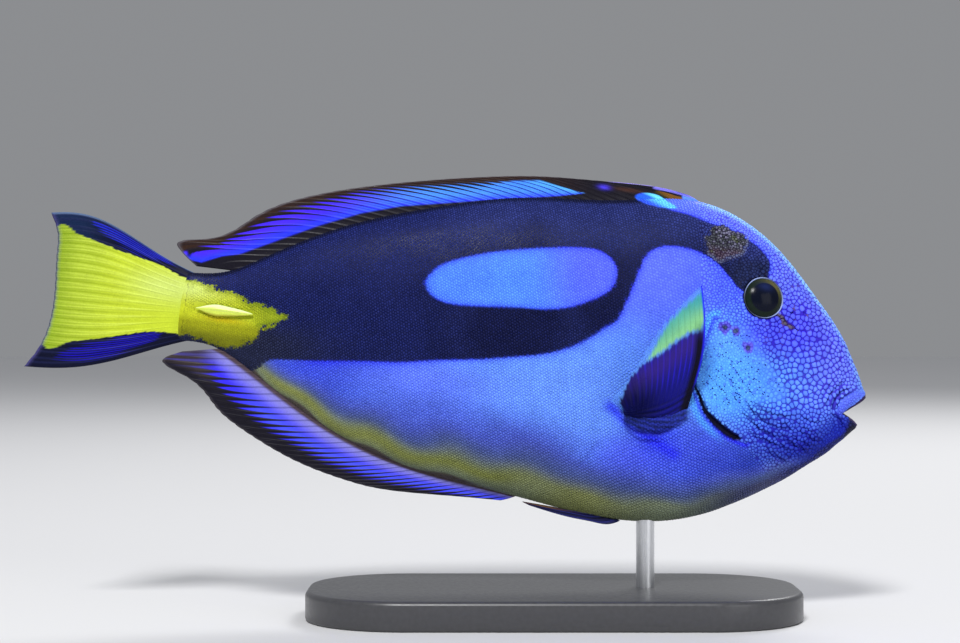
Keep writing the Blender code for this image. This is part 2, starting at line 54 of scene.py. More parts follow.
# Body outline, (x, z), half its thickness, (x, y), and the height at which the flank is widest, (x, z)
BACK_LINE = [
    (-64.0, 8.2), (-56.0, 9.5), (-48.0, 13.9), (-30.0, 24.2), (-10.0, 31.8), (12.0, 37.7),
    (35.0, 40.5), (54.5, 42.9), (64.3, 40.4), (75.0, 34.0), (86.3, 23.1), (95.2, 12.3), (99.6, 4.4),
]
BELLY_LINE = [
    (-64.0, -8.6), (-57.0, -8.7), (-48.0, -12.5), (-30.0, -22.4), (-10.0, -29.6), (20.0, -33.6),
    (48.0, -35.5), (65.4, -31.5), (83.2, -20.6), (92.0, -13.4), (98.7, -6.1),
]
FLANK_WIDTH = [
    (-64.0, 2.2), (-54.0, 3.2), (-44.0, 4.9), (-28.0, 7.8), (-8.0, 10.6), (16.0, 12.5),
    (40.0, 13.3), (58.0, 12.7), (72.0, 10.9), (84.0, 8.1), (91.0, 5.7), (94.8, 3.6),
]
FLANK_LEVEL = [(-64.0, -0.2), (-30.0, 1.5), (10.0, 3.5), (50.0, 3.0), (75.0, 0.0), (94.8, -2.4)]
BACK_ROUNDNESS = [(-64.0, 2.0), (0.0, 1.85), (45.0, 1.9), (75.0, 2.15), (100.0, 2.2)]
BELLY_ROUNDNESS = [(-64.0, 2.0), (0.0, 1.9), (45.0, 2.0), (75.0, 2.0), (100.0, 2.1)]
TAIL_ROOT_X = -64.0
SNOUT_START = 84.0
SNOUT_END = 100.0
UPPER_LIP_X = 99.6
LOWER_LIP_X = 98.7
MOUTH_CORNER_X = 94.6
LIP_GROOVE = (95.7, 1.2, 0.38)
MOUTH_ROUNDNESS = 2.2
# Lips and the mouth's inside: top (x, z), corner (x, y, z), bottom (x, z)
MOUTH_RINGS = [
    ((100.4, 3.4), (94.9, 3.3, -2.4), (99.4, -5.3)),
    ((100.2, 2.0), (94.8, 2.9, -2.4), (99.2, -4.4)),
    ((98.3, 0.1), (94.2, 2.1, -2.3), (97.9, -3.3)),
    ((96.4, -1.3), (93.6, 1.2, -2.2), (96.2, -2.5)),
]
MOUTH_BACK = (95.0, 0.0, -2.0)
EYE_AT = (71.6, 22.0)
EYE_SINK = 1.25


def smooth_line(knots):
    """A natural cubic through the knots (x, value, ...). It runs on straight past its ends."""
    table = np.array(sorted(knots), float)
    x, y = table[:, 0], table[:, 1:]
    step = np.diff(x)
    slope = np.diff(y, axis=0) / step[:, None]
    system = np.eye(len(x))
    right = np.zeros_like(y)
    for i in range(1, len(x) - 1):
        system[i, i - 1:i + 2] = step[i - 1], 2 * (step[i - 1] + step[i]), step[i]
        right[i] = 6 * (slope[i] - slope[i - 1])
    bend = np.linalg.solve(system, right)

    def value(at):
        at = np.asarray(at, float)
        i = np.clip(np.searchsorted(x, at) - 1, 0, len(step) - 1)
        inside = np.clip(at, x[0], x[-1])
        h = step[i][..., None]
        a = ((x[i + 1] - inside) / step[i])[..., None]
        b = 1 - a
        found = a * y[i] + b * y[i + 1] + ((a**3 - a) * bend[i] + (b**3 - b) * bend[i + 1]) * h**2 / 6
        run = slope[i] + ((3 * b * b - 1) * bend[i + 1] - (3 * a * a - 1) * bend[i]) * h / 6
        found = found + run * (at - inside)[..., None]
        return found[..., 0] if found.shape[-1] == 1 else found

    return value


back_line = smooth_line(BACK_LINE)
belly_line = smooth_line(BELLY_LINE)
flank_width = smooth_line(FLANK_WIDTH)
flank_level = smooth_line(FLANK_LEVEL)
back_roundness = smooth_line(BACK_ROUNDNESS)
belly_roundness = smooth_line(BELLY_ROUNDNESS)


def ease(value, low, high):
    """0 below low, 1 above high, and smooth between. low may be the larger."""
    share = np.clip((value - low) / (high - low), 0, 1)
    return share * share * (3 - 2 * share)


def hump(value, middle, reach):
    return np.exp(-(((value - middle) / reach) ** 2))


def unit(vectors):
    return vectors / np.maximum(np.linalg.norm(vectors, axis=-1, keepdims=True), 1e-9)


def flank_y(x, z):
    """Half the body's thickness at x and height z, behind the snout."""
    level = flank_level(x)
    upper = z >= level
    share = np.where(upper, (z - level) / (back_line(x) - level), (level - z) / (level - belly_line(x)))
    power = np.where(upper, back_roundness(x), belly_roundness(x))
    return flank_width(x) * (1 - np.clip(share, 0, 1) ** power) ** (1 / power)


def flank_frame(x, z, side):
    """A place on the flank and its outward normal. side is -1 for the right flank, +1 for the left."""
    reach = 0.4
    along = (flank_y(x + reach, z) - flank_y(x - reach, z)) / (2 * reach)
    upward = (flank_y(x, z + reach) - flank_y(x, z - reach)) / (2 * reach)
    return np.array((x, side * flank_y(x, z), z)), unit(np.array((-along, side, -upward)))


# Where the fish's own origin lies in the scene, from its packed right eye
TILT = np.array(Matrix.Rotation(math.radians(NOSE_DOWN), 3, "Y"))
eye_place, eye_normal = flank_frame(*EYE_AT, -1)
eye_low, eye_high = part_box("eye_right")
ORIGIN = (np.array(eye_low) + np.array(eye_high)) / 2 - TILT @ (eye_place - eye_normal * EYE_SINK) * MM


def to_scene(points):
    return np.asarray(points, float) @ TILT.T * MM + ORIGIN


def hand(side):
    return "left" if side > 0 else "right"


def wrapped(angle):
    """An angle between half a turn back and half a turn on."""
    return (angle + math.pi) % FULL_TURN - math.pi


# Outlines and paths


def curve(points, closed=False, steps=6):
    """A smooth run of places through the points."""
    knots = np.array(points, float)
    if closed:
        knots = np.vstack([knots[-1:], knots, knots[:2]])
    else:
        knots = np.vstack([2 * knots[0] - knots[1], knots, 2 * knots[-1] - knots[-2]])
    found = []
    for a, b, c, d in zip(knots, knots[1:], knots[2:], knots[3:]):
        for t in np.arange(steps) / steps:
            square = (2 * a - 5 * b + 4 * c - d) * t**2
            cube = (3 * b - a - 3 * c + d) * t**3
            found.append(0.5 * (2 * b + (c - a) * t + square + cube))
    found.append(knots[1] if closed else knots[-2])
    return np.array(found)


def border(x, knots):
    """Straight runs between the knots (x, value)."""
    at, level = np.array(knots).T
    return np.interp(x, at, level)


def path_distance(x, z, path):
    """Distance to a path, how far along it the nearest place is, as a share, and the side, +1 on its left."""
    best = np.full(x.shape, 1e9)
    share, side = np.zeros(x.shape), np.ones(x.shape)
    for i, (a, b) in enumerate(zip(path, path[1:])):
        run = b - a
        t = np.clip(((x - a[0]) * run[0] + (z - a[1]) * run[1]) / max(run @ run, 1e-9), 0, 1)
        gap = np.hypot(x - a[0] - t * run[0], z - a[1] - t * run[1])
        nearer = gap < best
        best = np.where(nearer, gap, best)
        share = np.where(nearer, (i + t) / (len(path) - 1), share)
        side = np.where(nearer, np.sign(run[0] * (z - a[1]) - run[1] * (x - a[0])), side)
    return best, share, side


def gap_to(x, z, points):
    """Distance to the smooth path through the points."""
    return path_distance(x, z, curve(points))[0]


def inside_by(x, z, outline):
    """How far inside a closed outline a place is, or how far outside, as a negative number."""
    path = curve(outline, closed=True)
    gap = path_distance(x, z, path)[0]
    crossings = np.zeros(x.shape, int)
    for a, b in zip(path, path[1:]):
        if a[1] != b[1]:
            spans = (a[1] > z) != (b[1] > z)
            crossings += spans & (x < a[0] + (z - a[1]) * (b[0] - a[0]) / (b[1] - a[1]))
    return np.where(crossings % 2 == 1, gap, -gap)


def field(function, low=(-106.0, -44.0), high=(106.0, 52.0), pitch=0.25):
    """function(x, z), worked out once on a fine net, so that many places can be read quickly."""
    xs, zs = np.arange(low[0], high[0], pitch), np.arange(low[1], high[1], pitch)
    net = function(*np.meshgrid(xs, zs, indexing="ij"))

    def value(x, z):
        fx = np.clip((x - low[0]) / pitch, 0, len(xs) - 1.001)
        fz = np.clip((z - low[1]) / pitch, 0, len(zs) - 1.001)
        i, j = fx.astype(int), fz.astype(int)
        a, b = fx - i, fz - j
        upper = net[i, j] * (1 - b) + net[i, j + 1] * b
        lower = net[i + 1, j] * (1 - b) + net[i + 1, j + 1] * b
        return upper * (1 - a) + lower * a

    return value


BAND = [
    (44.6, 40.4), (51.9, 39.0), (56.8, 37.8), (61.3, 37.2), (65.6, 35.6), (69.0, 33.9), (71.9, 31.2),
    (72.3, 28.4), (70.5, 24.0), (66.2, 23.1), (63.0, 25.7), (59.3, 28.7), (55.2, 30.5), (51.6, 31.0),
    (47.6, 30.9), (44.4, 29.6), (42.5, 27.4), (41.6, 24.2), (40.4, 19.5), (39.2, 15.0), (37.8, 11.5),
    (35.4, 9.6), (33.0, 7.3), (29.8, 4.9), (25.8, 2.7), (21.4, 1.1), (16.8, 0.0), (7.6, -2.1),
    (-1.7, -3.7), (-10.9, -5.6), (-20.4, -6.8), (-29.8, -8.2), (-37.0, -9.1), (-42.0, -10.0),
    (-46.6, -13.5), (-60.0, -16.0), (-80.0, -16.0), (-80.0, 18.0), (-50.0, 22.0), (-20.0, 38.0),
    (15.0, 46.0), (38.0, 46.0),
]
OVAL = [
    (-7.9, 13.6), (-6.6, 16.6), (-3.9, 19.1), (1.7, 21.6), (8.5, 23.8), (17.7, 25.9), (26.5, 27.4),
    (31.6, 27.4), (35.0, 25.6), (36.6, 22.6), (35.6, 18.7), (32.2, 15.9), (26.7, 13.1), (21.0, 11.7),
    (14.0, 11.1), (5.7, 10.2), (-1.3, 9.7), (-5.6, 10.8),
]
YELLOW = [
    (-97.6, 14.3), (-92.0, 13.1), (-86.7, 11.9), (-81.7, 10.7), (-74.2, 9.3), (-70.4, 8.4), (-66.4, 6.9),
    (-61.4, 6.1), (-57.5, 5.2), (-52.6, 4.9), (-49.6, 3.4), (-46.2, 3.2), (-42.3, 2.2), (-39.6, 0.8),
    (-42.0, -1.4), (-44.9, -2.9), (-46.0, -5.4), (-49.0, -7.1), (-52.5, -8.4), (-56.5, -8.1),
    (-61.0, -7.2), (-65.5, -7.0), (-71.6, -7.4), (-76.3, -8.7), (-83.3, -10.8), (-90.0, -12.6),
    (-96.9, -14.4), (-104.0, 0.0),
]
SCAR = [
    (58.1, 37.2), (61.0, 37.7), (62.5, 36.9), (64.6, 36.9), (66.1, 35.8), (65.8, 33.2), (65.0, 31.6),
    (61.8, 30.1), (60.4, 29.2), (58.9, 29.7), (56.8, 31.3), (56.3, 34.1),
]
CHEEK = [
    (60.5, 8.0), (62.5, 12.0), (66.5, 14.6), (70.5, 13.6), (74.0, 8.5), (78.0, 4.0), (80.8, 0.6),
    (79.0, -1.6), (74.0, -2.2), (69.0, -4.5), (65.0, -6.4), (61.5, -3.5), (59.8, 1.0),
]
# Cyan mark at the foot of the back fin's front
CYAN_WEDGE = [
    (38.7, 41.7), (39.7, 42.7), (41.6, 43.1), (43.6, 43.0), (45.1, 42.5), (46.5, 41.6), (48.6, 40.4),
    (46.0, 39.9), (42.3, 40.1), (40.0, 40.7),
]
# Fleshy base of the pectoral fin
FIN_BASE = [
    (41.6, -7.6), (46.0, -6.0), (53.0, -5.0), (57.6, -6.6), (56.4, -10.4), (52.0, -13.2), (47.0, -13.4),
    (43.0, -11.0),
]
LIPS = [
    (98.4, 3.9), (95.8, 2.5), (94.0, 1.0), (93.4, -0.5), (93.5, -2.0), (94.6, -2.4), (96.6, -3.3),
    (98.6, -5.4), (101.5, -4.0), (101.5, 4.0),
]
GILL_EDGE = [
    (61.4, 14.5), (60.4, 9.1), (59.4, 5.4), (58.1, 0.3), (59.9, -2.8), (61.8, -6.1), (64.3, -8.3),
    (68.4, -10.8), (72.2, -11.9),
]
EYE_GROOVE = [(75.4, 18.6), (77.0, 17.9), (78.2, 16.6), (80.9, 15.8)]
# Folds and wrinkles: path, half-width and depth
FOLDS = [
    ([(97.0, 4.4), (94.2, 3.1), (92.7, 1.4), (92.2, -0.6), (92.5, -2.4)], 0.34, 0.44),
    ([(98.4, 3.9), (95.8, 2.5), (94.0, 1.0), (93.4, -0.5), (93.4, -2.0)], 0.26, 0.36),
    ([(95.6, 6.0), (92.8, 4.2), (91.2, 2.2), (90.7, 0.2), (90.9, -1.6)], 0.36, 0.26),
    ([(92.6, 5.6), (90.4, 3.8), (89.2, 1.6), (89.2, -0.4)], 0.36, 0.18),
    ([(92.3, -2.7), (94.0, -3.5), (95.3, -4.8), (96.7, -6.3)], 0.28, 0.34),
    ([(70.3, -2.0), (72.1, -4.1), (74.1, -5.7), (76.5, -6.8), (78.8, -7.6), (82.1, -7.7), (84.6, -8.4)],
     0.40, 0.42),
    ([(70.1, -5.1), (72.6, -6.9), (75.3, -8.7), (78.4, -9.7), (82.0, -10.6)], 0.38, 0.34),
    ([(79.8, -9.2), (83.1, -10.9), (85.8, -11.8), (88.2, -12.7)], 0.34, 0.36),
    ([(84.4, -7.7), (87.2, -8.7), (89.2, -9.4), (91.6, -9.4)], 0.30, 0.30),
    ([(85.4, -6.6), (87.5, -7.5), (90.0, -8.3)], 0.30, 0.24),
    ([(72.4, -2.6), (74.5, -3.8), (77.1, -4.6), (80.1, -4.9), (83.4, -4.6)], 0.36, 0.28),
    ([(74.1, -4.3), (76.8, -5.8), (79.4, -6.6), (82.8, -6.6)], 0.34, 0.26),
    ([(71.7, -8.9), (74.4, -10.5), (77.3, -11.3), (80.3, -11.8), (84.0, -13.4)], 0.38, 0.32),
    ([(82.4, -9.1), (85.0, -10.0), (87.2, -10.9), (89.2, -12.0)], 0.30, 0.26),
    ([(84.6, -4.2), (87.6, -5.2), (90.6, -5.0)], 0.34, 0.22),
    ([(76.4, -13.0), (79.8, -14.4), (83.4, -16.0)], 0.40, 0.24),
    ([(38.9, -15.9), (36.4, -19.9), (34.7, -24.6)], 0.45, 0.12),
    ([(41.6, -10.6), (46.0, -13.4), (51.4, -13.3), (56.4, -10.6)], 0.55, 0.35),
    ([(43.0, -12.6), (47.5, -15.3), (53.0, -14.8)], 0.50, 0.22),
    ([(45.6, -8.0), (50.4, -9.6), (55.4, -7.4)], 0.40, 0.22),
]
# Rows of dark dots over the cheek
PRICKS = [
    [(59.6, 0.5), (60.9, -0.5), (62.6, -1.7), (64.4, -3.3)],
    [(61.0, 2.4), (63.0, 0.6), (65.2, -1.0), (66.6, -2.8)],
    [(66.2, 5.4), (68.0, 3.4), (70.3, 1.1), (72.9, -1.4)], [(71.8, -2.2), (74.8, -5.4), (77.6, -7.4)],
    [(62.3, 9.6), (64.6, 10.4), (66.8, 10.4), (68.0, 8.8)],
    [(62.6, 7.6), (65.0, 6.8), (67.2, 5.6), (68.6, 6.8)],
    [(64.2, 2.8), (66.8, 1.6), (68.6, -0.6), (69.6, -3.0)],
]
NOSTRILS = [((78.9, 19.7), 0.62), ((82.3, 20.0), 0.42)]

band_by = field(lambda x, z: inside_by(x, z, BAND))
oval_by = field(lambda x, z: inside_by(x, z, OVAL))
yellow_by = field(lambda x, z: inside_by(x, z, YELLOW))
scar_by = field(lambda x, z: inside_by(x, z, SCAR))
cheek_by = field(lambda x, z: inside_by(x, z, CHEEK))
lips_by = field(lambda x, z: inside_by(x, z, LIPS), (84.0, -12.0), (106.0, 12.0), 0.1)
fin_base_by = field(lambda x, z: inside_by(x, z, FIN_BASE))
wedge_by = field(lambda x, z: inside_by(x, z, CYAN_WEDGE), (30.0, 34.0), (56.0, 48.0), 0.1)


def waves(x, z, size, seed):
    """Soft uneven waves between about -1 and 1, size mm across."""
    draw = np.random.default_rng(seed)
    found = np.zeros(np.shape(x))
    for _ in range(7):
        angle, phase = draw.uniform(0, FULL_TURN, 2)
        pitch = size * draw.uniform(0.6, 1.7)
        found = found + np.sin(FULL_TURN * (x * math.cos(angle) + z * math.sin(angle)) / pitch + phase)
    return found / 3.2


def eye_radius_of(points):
    """Distance of places on either flank from the eye's axis."""
    place, normal = flank_frame(*EYE_AT, 1)
    off = points * np.array((1, 0, 1)) + np.abs(points) * SIDEWAYS - place
    return np.linalg.norm(off - (off @ normal)[..., None] * normal, axis=-1)


def crease_shade(x, z):
    """How much painted shade lies in the bottoms of the folds, 0 to 1."""
    deepest = np.zeros(np.shape(x))
    for path, width, depth in FOLDS:
        gap, share, _ = path_distance(x, z, curve(path))
        fade = ease(share, -0.02, 0.25) * ease(share, 1.02, 0.75)
        deepest = np.maximum(deepest, min(1.0, 3 * depth) * fade * hump(gap, 0, 0.75 * width))
    return deepest


EYE_RIM = 4.86
gill_path = curve(GILL_EDGE)


def gill_slit(x, z):
    """How deep in the gill slit a place is, 0 to 1, and how near ahead of its edge."""
    gap, share, side = path_distance(x, z, gill_path)
    width = 0.22 + 0.62 * hump(share, 0.82, 0.22)
    deep = ease(share, 0.3, 0.46) * ease(share, 1.0, 0.92)
    slit = deep * np.exp(-((gap - 0.25 * (side < 0)) / width).clip(0) ** 2)
    ahead = np.where(side > 0, np.exp(-((gap / 2.4) ** 2)) * ease(gap, 0.0, 0.4), 0)
    return slit, ahead * ease(share, 0.0, 0.3), gap


def relief(points):
    """How far the bare skin stands out of the plain body form, in mm."""
    x, z = points[..., 0], points[..., 2]
    out = np.zeros(x.shape)
    from_eye = eye_radius_of(points)
    out -= 1.9 * ease(from_eye, EYE_RIM + 0.1, EYE_RIM - 0.7)
    out += 0.30 * hump(from_eye, EYE_RIM + 0.9, 0.9)
    slit, ahead, _ = gill_slit(x, z)
    out += 0.42 * ahead - 1.25 * slit
    for path, width, depth in FOLDS:
        gap, share, _ = path_distance(x, z, curve(path))
        fade = ease(share, -0.02, 0.2) * ease(share, 1.02, 0.8)
        out += depth * fade * (0.55 * hump(gap, 2.3 * width, 1.1 * width) - hump(gap, 0, width))
    gap, share, _ = path_distance(x, z, curve(EYE_GROOVE))
    out -= 0.42 * hump(gap, 0, 0.42) * ease(share, 1.02, 0.85)
    out += 0.16 * hump(gap, 0.85, 0.45)
    for (nx, nz), radius in NOSTRILS:
        gap = np.hypot(x - nx, z - nz)
        out += 0.20 * hump(gap, radius * 1.5, 0.35) - 0.8 * ease(gap, radius, radius * 0.45)
    scar = scar_by(x, z)
    out += ease(scar, -0.3, 0.6) * (0.10 + 0.12 * waves(x, z, 1.9, 4)) + 0.14 * hump(scar, 0.0, 0.3)
    lip_gap, lip_share, _ = path_distance(x, z, curve([(94.3, -1.5), (95.0, 0.2), (96.6, 1.8), (99.4, 3.0)]))
    out += 0.55 * hump(lip_gap, 0, 1.05) * ease(lip_share, 1.0, 0.7)
    out += 0.30 * hump(gap_to(x, z, [(94.9, -3.0), (96.2, -3.4), (98.2, -4.6)]), 0, 0.8)
    out += 0.9 * hump(x, 50.5, 6.5) * hump(z, -9.2, 3.6)
    out -= 0.55 * hump(z, 0.0, 1.9) * ease(x, -64.0, -61.0) * ease(x, -44.5, -48.0)
    out += 0.16 * waves(x, z, 9.0, 8) * ease(x, 60, 75) * ease(z, 2, -4)
    return out


# Bare skin: the rings' rails, from the tail's root to the back of the mouth

SKIN_DEPTH = 0.16
SKIN_END_X = -67.5
HALF_COLUMNS = 148
MOUTH_ROWS = 15
MOUTH_INSIDE = 101.6


def rails():
    """Unwrapped length, top (x, z), side (x, y, z), bottom (x, z) and both roundnesses of every ring."""
    station = np.concatenate([
        np.linspace(SKIN_END_X, 50, 126, endpoint=False),
        np.linspace(50, 84, 92, endpoint=False),
        np.linspace(84, SNOUT_END, 74, endpoint=False),
    ])
    part = np.clip((station - SNOUT_START) / (SNOUT_END - SNOUT_START), 0, None)
    top_x, side_x, bottom_x = (
        station - (SNOUT_END - end) * part**2 for end in (UPPER_LIP_X, MOUTH_CORNER_X, LOWER_LIP_X)
    )
    at, half_length, depth = LIP_GROOVE
    pinch = depth * hump(station, at, half_length)
    thin = np.clip((TAIL_ROOT_X - station) / (TAIL_ROOT_X - SKIN_END_X), 0, 1)
    width = (flank_width(np.maximum(side_x, TAIL_ROOT_X)) - pinch) * (1 - thin**1.2)
    middle = flank_level(side_x)
    top = back_line(top_x) - pinch / 2
    bottom = belly_line(bottom_x) + pinch / 2
    top = middle + (top - middle) * (1 - thin**3)
    bottom = middle + (bottom - middle) * (1 - thin**3)
    body = np.column_stack([
        station, top_x, top, side_x, width, middle, bottom_x, bottom,
        back_roundness(station), belly_roundness(station),
    ])
    first = [
        UPPER_LIP_X, back_line(UPPER_LIP_X), MOUTH_CORNER_X, flank_width(MOUTH_CORNER_X),
        flank_level(MOUTH_CORNER_X), LOWER_LIP_X, belly_line(LOWER_LIP_X),
    ]
    x, y, z = MOUTH_BACK
    rings = [first] + [[*t, *s, *b] for t, s, b in MOUTH_RINGS] + [[x, z, x, y, z, x, z]]
    through = smooth_line([(i, *values) for i, values in enumerate(rings)])
    inner = through(np.linspace(0, len(rings) - 1, MOUTH_ROWS))
    beyond = SNOUT_END + np.linspace(0, 7, MOUTH_ROWS)
    mouth = np.column_stack([beyond, inner, np.full((MOUTH_ROWS, 2), MOUTH_ROUNDNESS)])
    return np.vstack([body, mouth])


def half_sections():
    """Left half of every ring, from the back ridge to the belly, evenly spaced along its skin."""
    row = rails()
    _, top_x, top, side_x, width, middle, bottom_x, bottom, upper_power, lower_power = (
        column[:, None] for column in row.T
    )

    def section(angle):
        upper = np.cos(angle) > 0
        power = np.where(upper, upper_power, lower_power)
        reach, out = np.abs(np.cos(angle)) ** (2 / power), np.abs(np.sin(angle)) ** (2 / power)
        return np.stack([
            side_x + (np.where(upper, top_x, bottom_x) - side_x) * reach,
            width * out,
            middle + (np.where(upper, top, bottom) - middle) * reach,
        ], axis=-1)

    fine = np.linspace(0, math.pi, 700)
    fine = np.broadcast_to(fine, (len(row), len(fine)))
    points = section(fine)
    length = np.concatenate([
        np.zeros((len(row), 1)), np.cumsum(np.linalg.norm(np.diff(points, axis=1), axis=2), axis=1)
    ], axis=1)
    share = np.linspace(0, 1, HALF_COLUMNS + 1)
    angle = np.array([
        np.interp(share * total[-1], total, angles) if total[-1] > 1e-6 else share * math.pi
        for total, angles in zip(length, fine)
    ])
    return row[:, 0], length[:, -1], section(angle)


skin_rows, skin_lengths, half = half_sections()
half[:, (0, -1), 1] = 0
ring = np.concatenate([half * (1, -1, 1), half[:, -2::-1]], axis=1)
turn = np.roll(ring[:, :-1], -1, axis=1) - np.roll(ring[:, :-1], 1, axis=1)
turn = np.concatenate([turn, turn[:, :1]], axis=1)
bare_normals = unit(np.cross(turn, np.gradient(ring, axis=0)))
facing = np.sign(np.sum(bare_normals * (ring - ring.mean(axis=1, keepdims=True)), axis=(1, 2)))
bare_normals *= facing[:, None, None]
bare_normals[-3:] = bare_normals[-3]


def on_skin(along, around):
    """Bare place and normal at a length along the skin and a turn around it, which is 0 on the back,
    1 on the belly and 2 on the back again."""
    fi = np.clip(np.interp(along, skin_rows, np.arange(len(skin_rows))), 0, len(skin_rows) - 1.001)
    fj = np.clip(around * HALF_COLUMNS, 0, 2 * HALF_COLUMNS - 0.001)
    i, j = fi.astype(int), fj.astype(int)
    a, b = (fi - i)[:, None], (fj - j)[:, None]

    def read(net):
        near = net[i, j] * (1 - b) + net[i, j + 1] * b
        far = net[i + 1, j] * (1 - b) + net[i + 1, j + 1] * b
        return near * (1 - a) + far * a

    return read(ring), unit(read(bare_normals))


def unwrap(along, around):
    """Place on the flat unwrap of the skin, belly in the middle, at one scale both ways."""
    scale = 0.94 / 182
    length = np.interp(along, skin_rows, skin_lengths)
    return np.stack([0.03 + (along - SKIN_END_X) * scale, 0.5 + (around - 1) * length * scale], axis=-1)


# Markings

SKY = (0.125, 0.32, 0.97)
AZURE = (0.085, 0.30, 0.96)
CYAN = (0.060, 0.39, 0.97)
PALE = (0.19, 0.25, 0.95)
SLATE = (0.080, 0.118, 0.29)
OLIVE = (0.200, 0.245, 0.160)
GREY = (0.050, 0.058, 0.130)
MOSS = (0.225, 0.250, 0.035)
BLACK_BAND = (0.003, 0.005, 0.034)
BAND_SHEEN = (0.014, 0.021, 0.100)
LEMON = (0.50, 0.56, 0.020)
PALE_LEMON = (0.56, 0.68, 0.17)
LIME = (0.22, 0.29, 0.010)
SCAR_BROWN = (0.030, 0.034, 0.036)
# Painted shadow deep in the gill slit
SLIT_SHADOW = (0.006, 0.006, 0.025)
# Height above the belly at which the blue begins, (x, z)
belly_blend = smooth_line([
    (-64.0, 7.0), (-50.0, 7.5), (-34.0, 9.0), (-18.0, 12.0), (0.0, 14.5), (20.0, 17.0), (36.0, 15.5),
    (50.0, 13.5), (60.0, 12.0), (72.0, 10.0), (84.0, 6.5), (100.0, 4.0),
])
# Soft patches of colour on the blue: x, z, how far they reach along both, strength and colour. The deep blues
# low on the flank are partly its own colour, partly painted shade on the underside
PATCHES = [
    (20, 8, 60, 20, 0.6, SKY), (30, -6, 18, 9, 2.6, (0.155, 0.345, 0.97)),
    (-5, -8, 18, 5, 1.2, (0.130, 0.185, 0.96)), (-3, 15, 7, 8, 3.0, (0.070, 0.23, 0.95)),
    (13, 18, 9, 9, 3.0, (0.075, 0.26, 0.95)), (31, 22, 9, 9, 4.0, (0.095, 0.120, 0.96)),
    (-34, -11, 12, 8, 3.0, (0.040, 0.060, 0.60)), (47, 24, 9, 12, 4.0, (0.105, 0.145, 0.96)),
    (42, 2, 5, 9, 1.5, SKY), (62, 23, 8, 6, 3.0, (0.060, 0.085, 0.93)),
    (-4, -18, 14, 5, 2.5, (0.078, 0.120, 0.63)), (20, -19, 12, 4, 2.5, (0.068, 0.100, 0.56)),
    (64, 8, 7, 8, 3.0, AZURE), (73, 1, 8, 6, 4.0, (0.068, 0.27, 0.96)), (66, 2, 7, 6, 3.0, CYAN),
    (73, 14, 5, 4, 6.0, (0.050, 0.036, 0.82)), (82, 15, 7, 7, 7.0, (0.050, 0.022, 0.80)),
    (91, 9, 5, 7, 4.5, (0.125, 0.150, 0.94)), (81, 6, 6, 6, 3.0, (0.085, 0.23, 0.95)),
    (88, 2, 6, 4, 3.5, (0.100, 0.17, 0.92)), (88, 22, 6, 8, 2.4, PALE),
    (78, 29, 7, 6, 2.8, (0.115, 0.135, 0.92)), (65, 39, 9, 4, 3.0, (0.13, 0.16, 0.95)),
    (84, -4, 7, 4, 2.5, (0.060, 0.13, 0.86)), (82, -9, 8, 4, 3.5, (0.020, 0.030, 0.64)),
    (90, -12, 8, 4, 5.0, (0.003, 0.006, 0.24)), (95, -7, 4, 4, 6.0, (0.003, 0.006, 0.38)),
    (72, -19, 8, 5, 3.5, (0.024, 0.044, 0.46)), (60, -17, 9, 6, 3.5, (0.056, 0.086, 0.74)),
    (46, -20, 6, 5, 3.0, (0.080, 0.112, 0.82)), (51, -14, 4, 4, 3.5, (0.020, 0.026, 0.86)),
]


def blue_skin(x, z):
    """The blue of the head and flank, which turns olive towards the belly."""
    total = np.full(x.shape, 0.15)
    colour = total[..., None] * np.array(SKY)
    for px, pz, reach_x, reach_z, strength, tint in PATCHES:
        weight = strength * hump(x, px, reach_x) * hump(z, pz, reach_z)
        total = total + weight
        colour = colour + weight[..., None] * np.array(tint)
    colour = colour / total[..., None]
    height = z - belly_line(x) + 0.7 * waves(x, z, 13, 3)
    share = height / belly_blend(x)
    belly = layered(
        OLIVE,
        (GREY, ease(x, 56, 76)),
        ((0.240, 0.265, 0.075), 0.8 * hump(x, 36, 13)),
        ((0.010, 0.014, 0.10), ease(x, 78, 88)),
    )
    behind_chin = ease(x, 90, 78)
    return layered(
        colour,
        # The blue deepens towards the belly: partly its own colour, partly painted shade on the underside
        ((0.074, 0.108, 0.51), 0.9 * ease(share, 1.05, 0.72) * behind_chin),
        (SLATE, ease(share, 0.85, 0.52) * behind_chin),
        (belly, ease(share, 0.60, 0.30)),
        (MOSS, 0.75 * hump(height, 2.6 + 0.05 * (x + 20).clip(0), 1.9) * ease(x, 30, 14) * ease(x, -48, -38)),
        ((0.075, 0.050, 0.042), 0.85 * ease(height, 1.2, 0.5) * ease(x, 18, 8)),
    )


def mixed(one, other, share):
    one = np.asarray(one, float)
    return one + (np.asarray(other) - one) * np.clip(share, 0, 1)[..., None]


def layered(colour, *tints):
    """A colour with tints laid over it one after another, each as (colour, share)."""
    for tint, share in tints:
        colour = mixed(colour, tint, share)
    return colour


